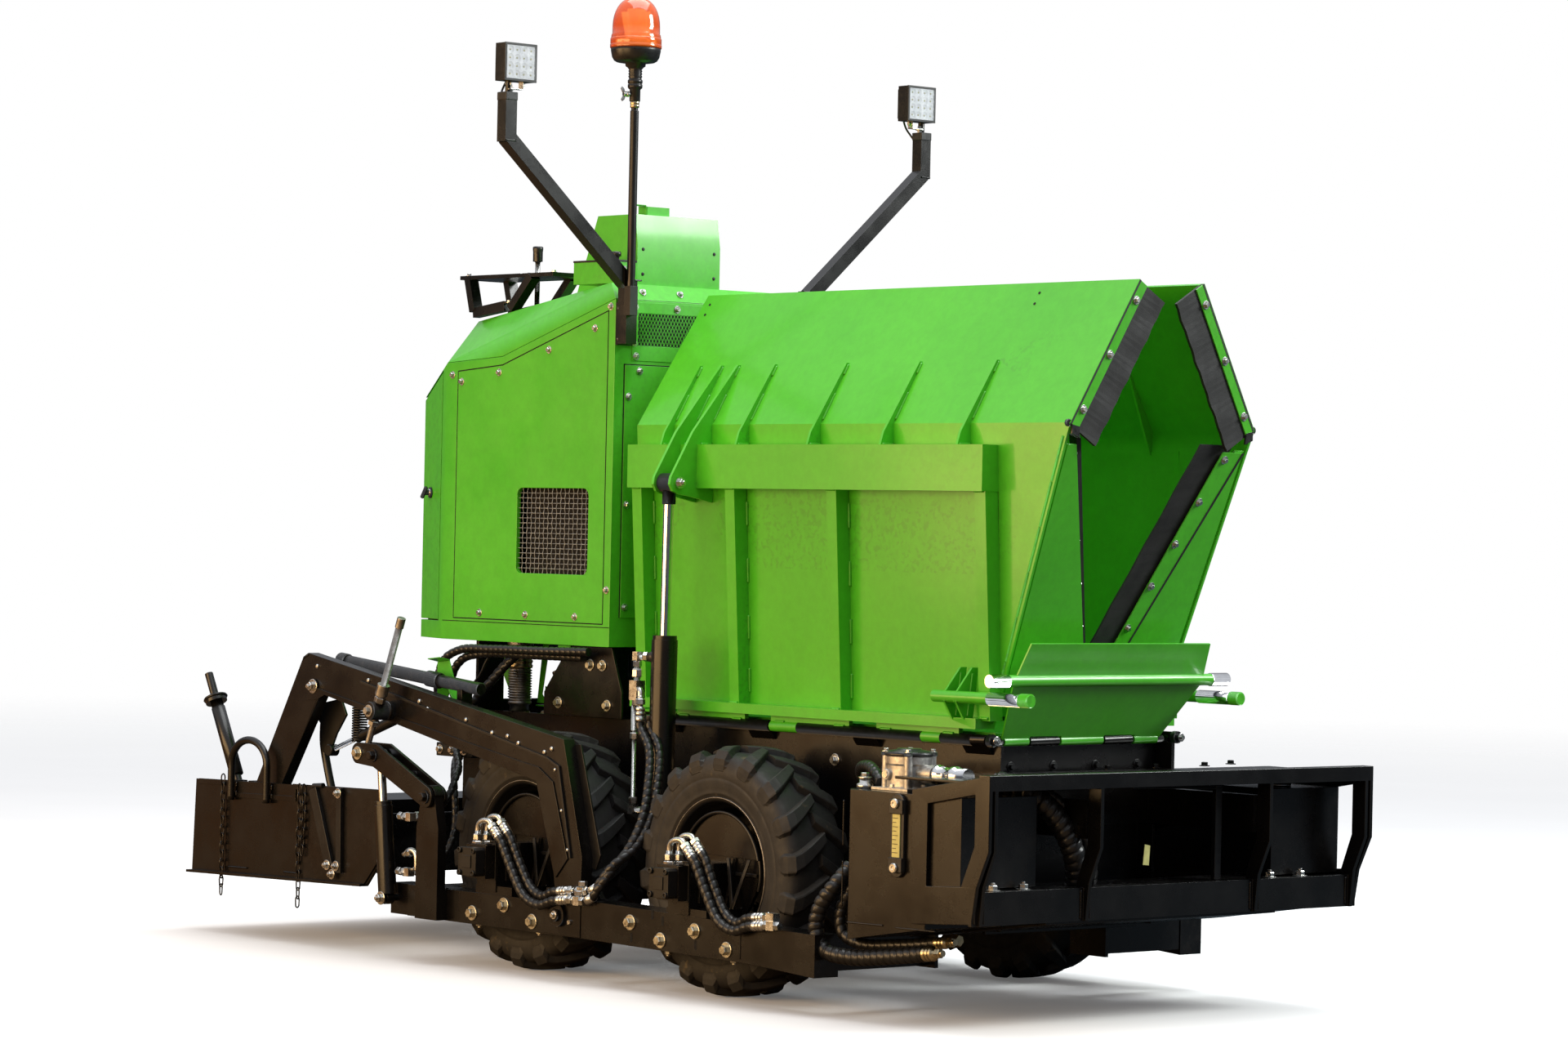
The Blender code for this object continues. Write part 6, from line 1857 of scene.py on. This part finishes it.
def bumper_trim():
    k = Kit()
    for y in (-0.619, -0.511, 0.418, 0.539):
        k.bolt((1.7120, y, 0.3702), Z, 0.022, True, True)
    k.piece("bumper_bolts", ZINC, "chassis")
    k = Kit()
    for x, y in ((1.410, 0.093), (1.395, 0.293), (1.380, 0.502), (1.360, -0.107), (1.330, 0.66)):
        k.bolt((x, y, 0.6542), Z, 0.016)
    k.piece("deck_bolts", BLACK, "chassis")
    k = Kit()
    for y in (-0.700, -0.320, 0.320, 0.700):
        for d in (-0.0165, 0.0165):
            k.weld((1.7480, y + d, 0.292), (1.7480, y + d, 0.366), 0.0032)
        k.weld((1.790, y - 0.014, 0.6325), (1.790, y + 0.014, 0.6325), 0.003)
    for y in (-0.713, 0.713):
        k.weld((1.737, y, 0.300), (1.737, y, 0.366), 0.003)
    k.piece("bumper_welds", BLACK, "chassis")


def tank_filler():
    """The far tank's filler, and a tag behind the bumper."""
    k = Kit()
    k.turned([(0, 0.6102), (0.040, 0.6102), (0.040, 0.618), (0.034, 0.620), (0, 0.620)], (1.600, 0.560, 0), Z,
             32)
    k.piece("filler_neck", CHROME, "chassis")
    k = Kit()
    prof = [(0, 0.618), (0.044, 0.618), (0.046, 0.620), (0.046, 0.636), (0.040, 0.641), (0, 0.641)]
    k.turned(prof, (1.600, 0.560, 0), Z, 36)
    k.rod((1.520, 0.640, 0.6102), (1.520, 0.640, 0.640), 0.012, 20, 0.003)
    k.piece("filler_cap", PLASTIC, "chassis")
    k = Kit()
    k.slab([(1.7000, -0.062, 0.420), (1.7000, -0.040, 0.418), (1.7000, -0.036, 0.470),
            (1.7000, -0.056, 0.474)], (0.002, 0, 0))
    k.piece("tag_strap", SIGHT, "chassis")


def middle_opening():
    """Bar and lip behind the bumper's middle opening, and the large hoses in it."""
    k = Kit()
    k.block(1.6920, 1.7060, 0.208, 0.232, 0.372, 0.625)
    k.slab([(1.6960, -0.100, 0.640), (1.6960, 0.225, 0.640), (1.7060, 0.232, 0.615), (1.6960, -0.100, 0.622)],
           (0.002, 0, 0))
    k.piece("middle_guard", SATIN, "chassis", 0.001)
    pts = [(1.560, -0.470, 0.640), (1.610, -0.450, 0.628), (1.652, -0.410, 0.600), (1.676, -0.360, 0.550),
           (1.686, -0.322, 0.490),
           (1.682, -0.292, 0.430), (1.660, -0.268, 0.375), (1.620, -0.250, 0.330)]
    hose("big_hose", pts, "chassis", 0.0300)
    hose("side_hose", [(p[0] - 0.006, p[1] + 0.062, p[2] + 0.004) for p in pts], "chassis", 0.0150)


def belly_hoses():
    """Hoses that leave behind the tank and pass below it."""
    hose("belly_hose_1",
         [(1.190, -0.640, 0.400), (1.178, -0.690, 0.345), (1.140, -0.702, 0.290), (1.128, -0.704, 0.225),
          (1.160, -0.700, 0.178),
                          (1.240, -0.690, 0.166), (1.400, -0.680, 0.180), (1.520, -0.672, 0.196)], "chassis",
                          0.0215)
    hose("belly_hose_2",
         [(1.205, -0.600, 0.400), (1.200, -0.650, 0.340), (1.176, -0.660, 0.280), (1.184, -0.660, 0.225),
          (1.240, -0.650, 0.200),
                          (1.400, -0.640, 0.208), (1.520, -0.630, 0.222)], "chassis", 0.0160)
    k = Kit()
    ferrule(k, (1.520, -0.672, 0.196), (1, 0, 0.1), 0.020)
    ferrule(k, (1.520, -0.630, 0.222), (1, 0, 0.1), 0.016)
    k.hexagon((1.500, -0.560, 0.226), (1, 0, 0), 0.030, 0.030)
    k.turned([(0, 0), (0.012, 0), (0.012, 0.05), (0, 0.05)], (1.470, -0.560, 0.226), X, 18)
    k.piece("belly_fittings", BRASS, "chassis")
    k = Kit()
    # the tank's welds
    for x0, x1 in ((1.26, 1.40), (1.45, 1.60)):
        k.weld((x0, -0.7140, 0.2600), (x1, -0.7140, 0.2620), 0.0025)
    for z0, z1 in ((0.30, 0.42), (0.46, 0.58)):
        k.weld((1.2375, -0.7130, z0), (1.2375, -0.7130, z1), 0.0025)
    k.piece("tank_welds", BLACK, "chassis")


return_filter()
level_gauge()
bumper_trim()
tank_filler()
middle_opening()
belly_hoses()


# ---------------------------------------------------------------- floor and light
FLOOR_SIDES = 96
FLOOR_RINGS = (0.0, 3.0, 6.0, 10.0, 16.0, 26.0)


def floor():
    """Round ground: white to the eye; to the paint, clay behind the machine and dark earth to its left."""
    bm = bmesh.new()
    rings = []
    for r in FLOOR_RINGS:
        if r == 0:
            rings.append([bm.verts.new((0, 0, 0))])
        else:
            rings.append([bm.verts.new((r * math.cos(w), r * math.sin(w), 0))
                          for w in (2 * math.pi * i / FLOOR_SIDES for i in range(FLOOR_SIDES))])
    for a, b in zip(rings, rings[1:]):
        for i in range(FLOOR_SIDES):
            j = (i + 1) % FLOOR_SIDES
            bm.faces.new((a[0], b[i], b[j]) if len(a) == 1 else (a[i], b[i], b[j], a[j]))
    me = bpy.data.meshes.new("floor")
    bm.to_mesh(me)
    bm.free()
    m, nt, b = new_mat("pale_floor")
    nt.links.new(ramp(nt, noise(nt, 0.8, 4.0), [(0.3, grey(0.86)), (0.7, grey(0.89))]), b.inputs["Base Color"])
    put(b, Roughness=0.9, Emission_Color=(1.0, 1.0, 1.0, 1.0), Emission_Strength=0.10)
    b.inputs["Specular IOR Level"].default_value = 0.1
    sand = nt.nodes.new("ShaderNodeBsdfDiffuse")
    co = nt.nodes.new("ShaderNodeTexCoord")
    place = nt.nodes.new("ShaderNodeSeparateXYZ")
    nt.links.new(co.outputs["Object"], place.inputs[0])
    left = nt.nodes.new("ShaderNodeMapRange")
    left.inputs["From Min"].default_value = -1.2
    left.inputs["From Max"].default_value = 0.6
    nt.links.new(place.outputs["Y"], left.inputs["Value"])
    rear = nt.nodes.new("ShaderNodeMapRange")
    rear.inputs["From Min"].default_value = -2.5
    rear.inputs["From Max"].default_value = -6.5
    nt.links.new(place.outputs["X"], rear.inputs["Value"])
    near = ramp(nt, noise(nt, 1.3, 5.0), [(0.3, (0.17, 0.105, 0.050)), (0.7, (0.23, 0.145, 0.075))])
    clay = ramp(nt, noise(nt, 1.3, 5.0), [(0.3, (0.34, 0.140, 0.040)), (0.7, (0.42, 0.185, 0.060))])
    warm = mix(nt, rear.outputs[0], near, clay)
    cool = ramp(nt, noise(nt, 1.3, 5.0), [(0.3, (0.040, 0.050, 0.058)), (0.7, (0.058, 0.070, 0.082))])
    nt.links.new(mix(nt, left.outputs[0], warm, cool), sand.inputs["Color"])
    seen = nt.nodes.new("ShaderNodeLightPath")
    ground = nt.nodes.new("ShaderNodeMixShader")
    nt.links.new(seen.outputs["Is Camera Ray"], ground.inputs[0])
    nt.links.new(sand.outputs[0], ground.inputs[1])
    nt.links.new(b.outputs[0], ground.inputs[2])
    ln = nt.nodes.new("ShaderNodeVectorMath")
    ln.operation = "LENGTH"
    nt.links.new(co.outputs["Object"], ln.inputs[0])
    far = nt.nodes.new("ShaderNodeMapRange")
    far.inputs["From Min"].default_value = 5.0
    far.inputs["From Max"].default_value = 20.0
    nt.links.new(ln.outputs["Value"], far.inputs["Value"])
    clear = nt.nodes.new("ShaderNodeBsdfTransparent")
    both = nt.nodes.new("ShaderNodeMixShader")
    nt.links.new(maths(nt, "MULTIPLY", far.outputs[0], seen.outputs["Is Camera Ray"]), both.inputs[0])
    nt.links.new(ground.outputs[0], both.inputs[1])
    nt.links.new(clear.outputs[0], both.inputs[2])
    nt.links.new(both.outputs[0], nt.nodes["Material Output"].inputs["Surface"])
    me.materials.append(m)
    ob = bpy.data.objects.new("floor", me)
    scene.collection.objects.link(ob)


def lamp(name, place, aim, size, power, colour, shape_y=None):
    data = bpy.data.lights.new(name, "AREA")
    data.energy = power
    data.color = colour
    data.shape = "RECTANGLE"
    data.size = size
    data.size_y = shape_y or size
    ob = bpy.data.objects.new(name, data)
    ob.location = place
    ob.rotation_euler = (Vector(aim) - Vector(place)).to_track_quat("-Z", "Y").to_euler()
    scene.collection.objects.link(ob)


def light():
    """White backdrop to the eye; for the machine, a pale sky over a dark horizon, and one warm side."""
    world = bpy.data.worlds.new("studio")
    scene.world = world
    world.use_nodes = True
    nt = world.node_tree
    bg = nt.nodes["Background"]
    bg.inputs["Color"].default_value = (1.0, 1.0, 1.0, 1.0)
    co = nt.nodes.new("ShaderNodeTexCoord")
    sp = nt.nodes.new("ShaderNodeSeparateXYZ")
    nt.links.new(co.outputs["Generated"], sp.inputs[0])
    sky = nt.nodes.new("ShaderNodeBackground")
    nt.links.new(ramp(nt, sp.outputs["Z"], [(0.0, (0.085, 0.095, 0.110)), (0.16, (0.17, 0.18, 0.20)),
                                            (0.45, (0.62, 0.64, 0.68)), (1.0, (1.0, 1.02, 1.08))]),
                                            sky.inputs["Color"])
    sky.inputs["Strength"].default_value = 0.95
    seen = nt.nodes.new("ShaderNodeLightPath")
    both = nt.nodes.new("ShaderNodeMixShader")
    nt.links.new(seen.outputs["Is Camera Ray"], both.inputs[0])
    nt.links.new(sky.outputs[0], both.inputs[1])
    nt.links.new(bg.outputs[0], both.inputs[2])
    nt.links.new(both.outputs[0], nt.nodes["World Output"].inputs["Surface"])
    lamp("top_soft", (0.2, 0.4, 6.5), (0, 0, 0.8), 5.0, 280.0, (0.97, 1.0, 1.0))
    lamp("front_soft", (6.0, 5.5, 5.5), (1.2, 0, 1.0), 3.0, 620.0, (0.96, 1.0, 0.97))
    lamp("side_warm", (-1.5, -7.5, 1.9), (-0.2, 0, 0.8), 9.0, 520.0, (1.0, 0.62, 0.27), 3.2)
    scene.view_settings.view_transform = "Standard"
    scene.view_settings.look = "None"


floor()
light()
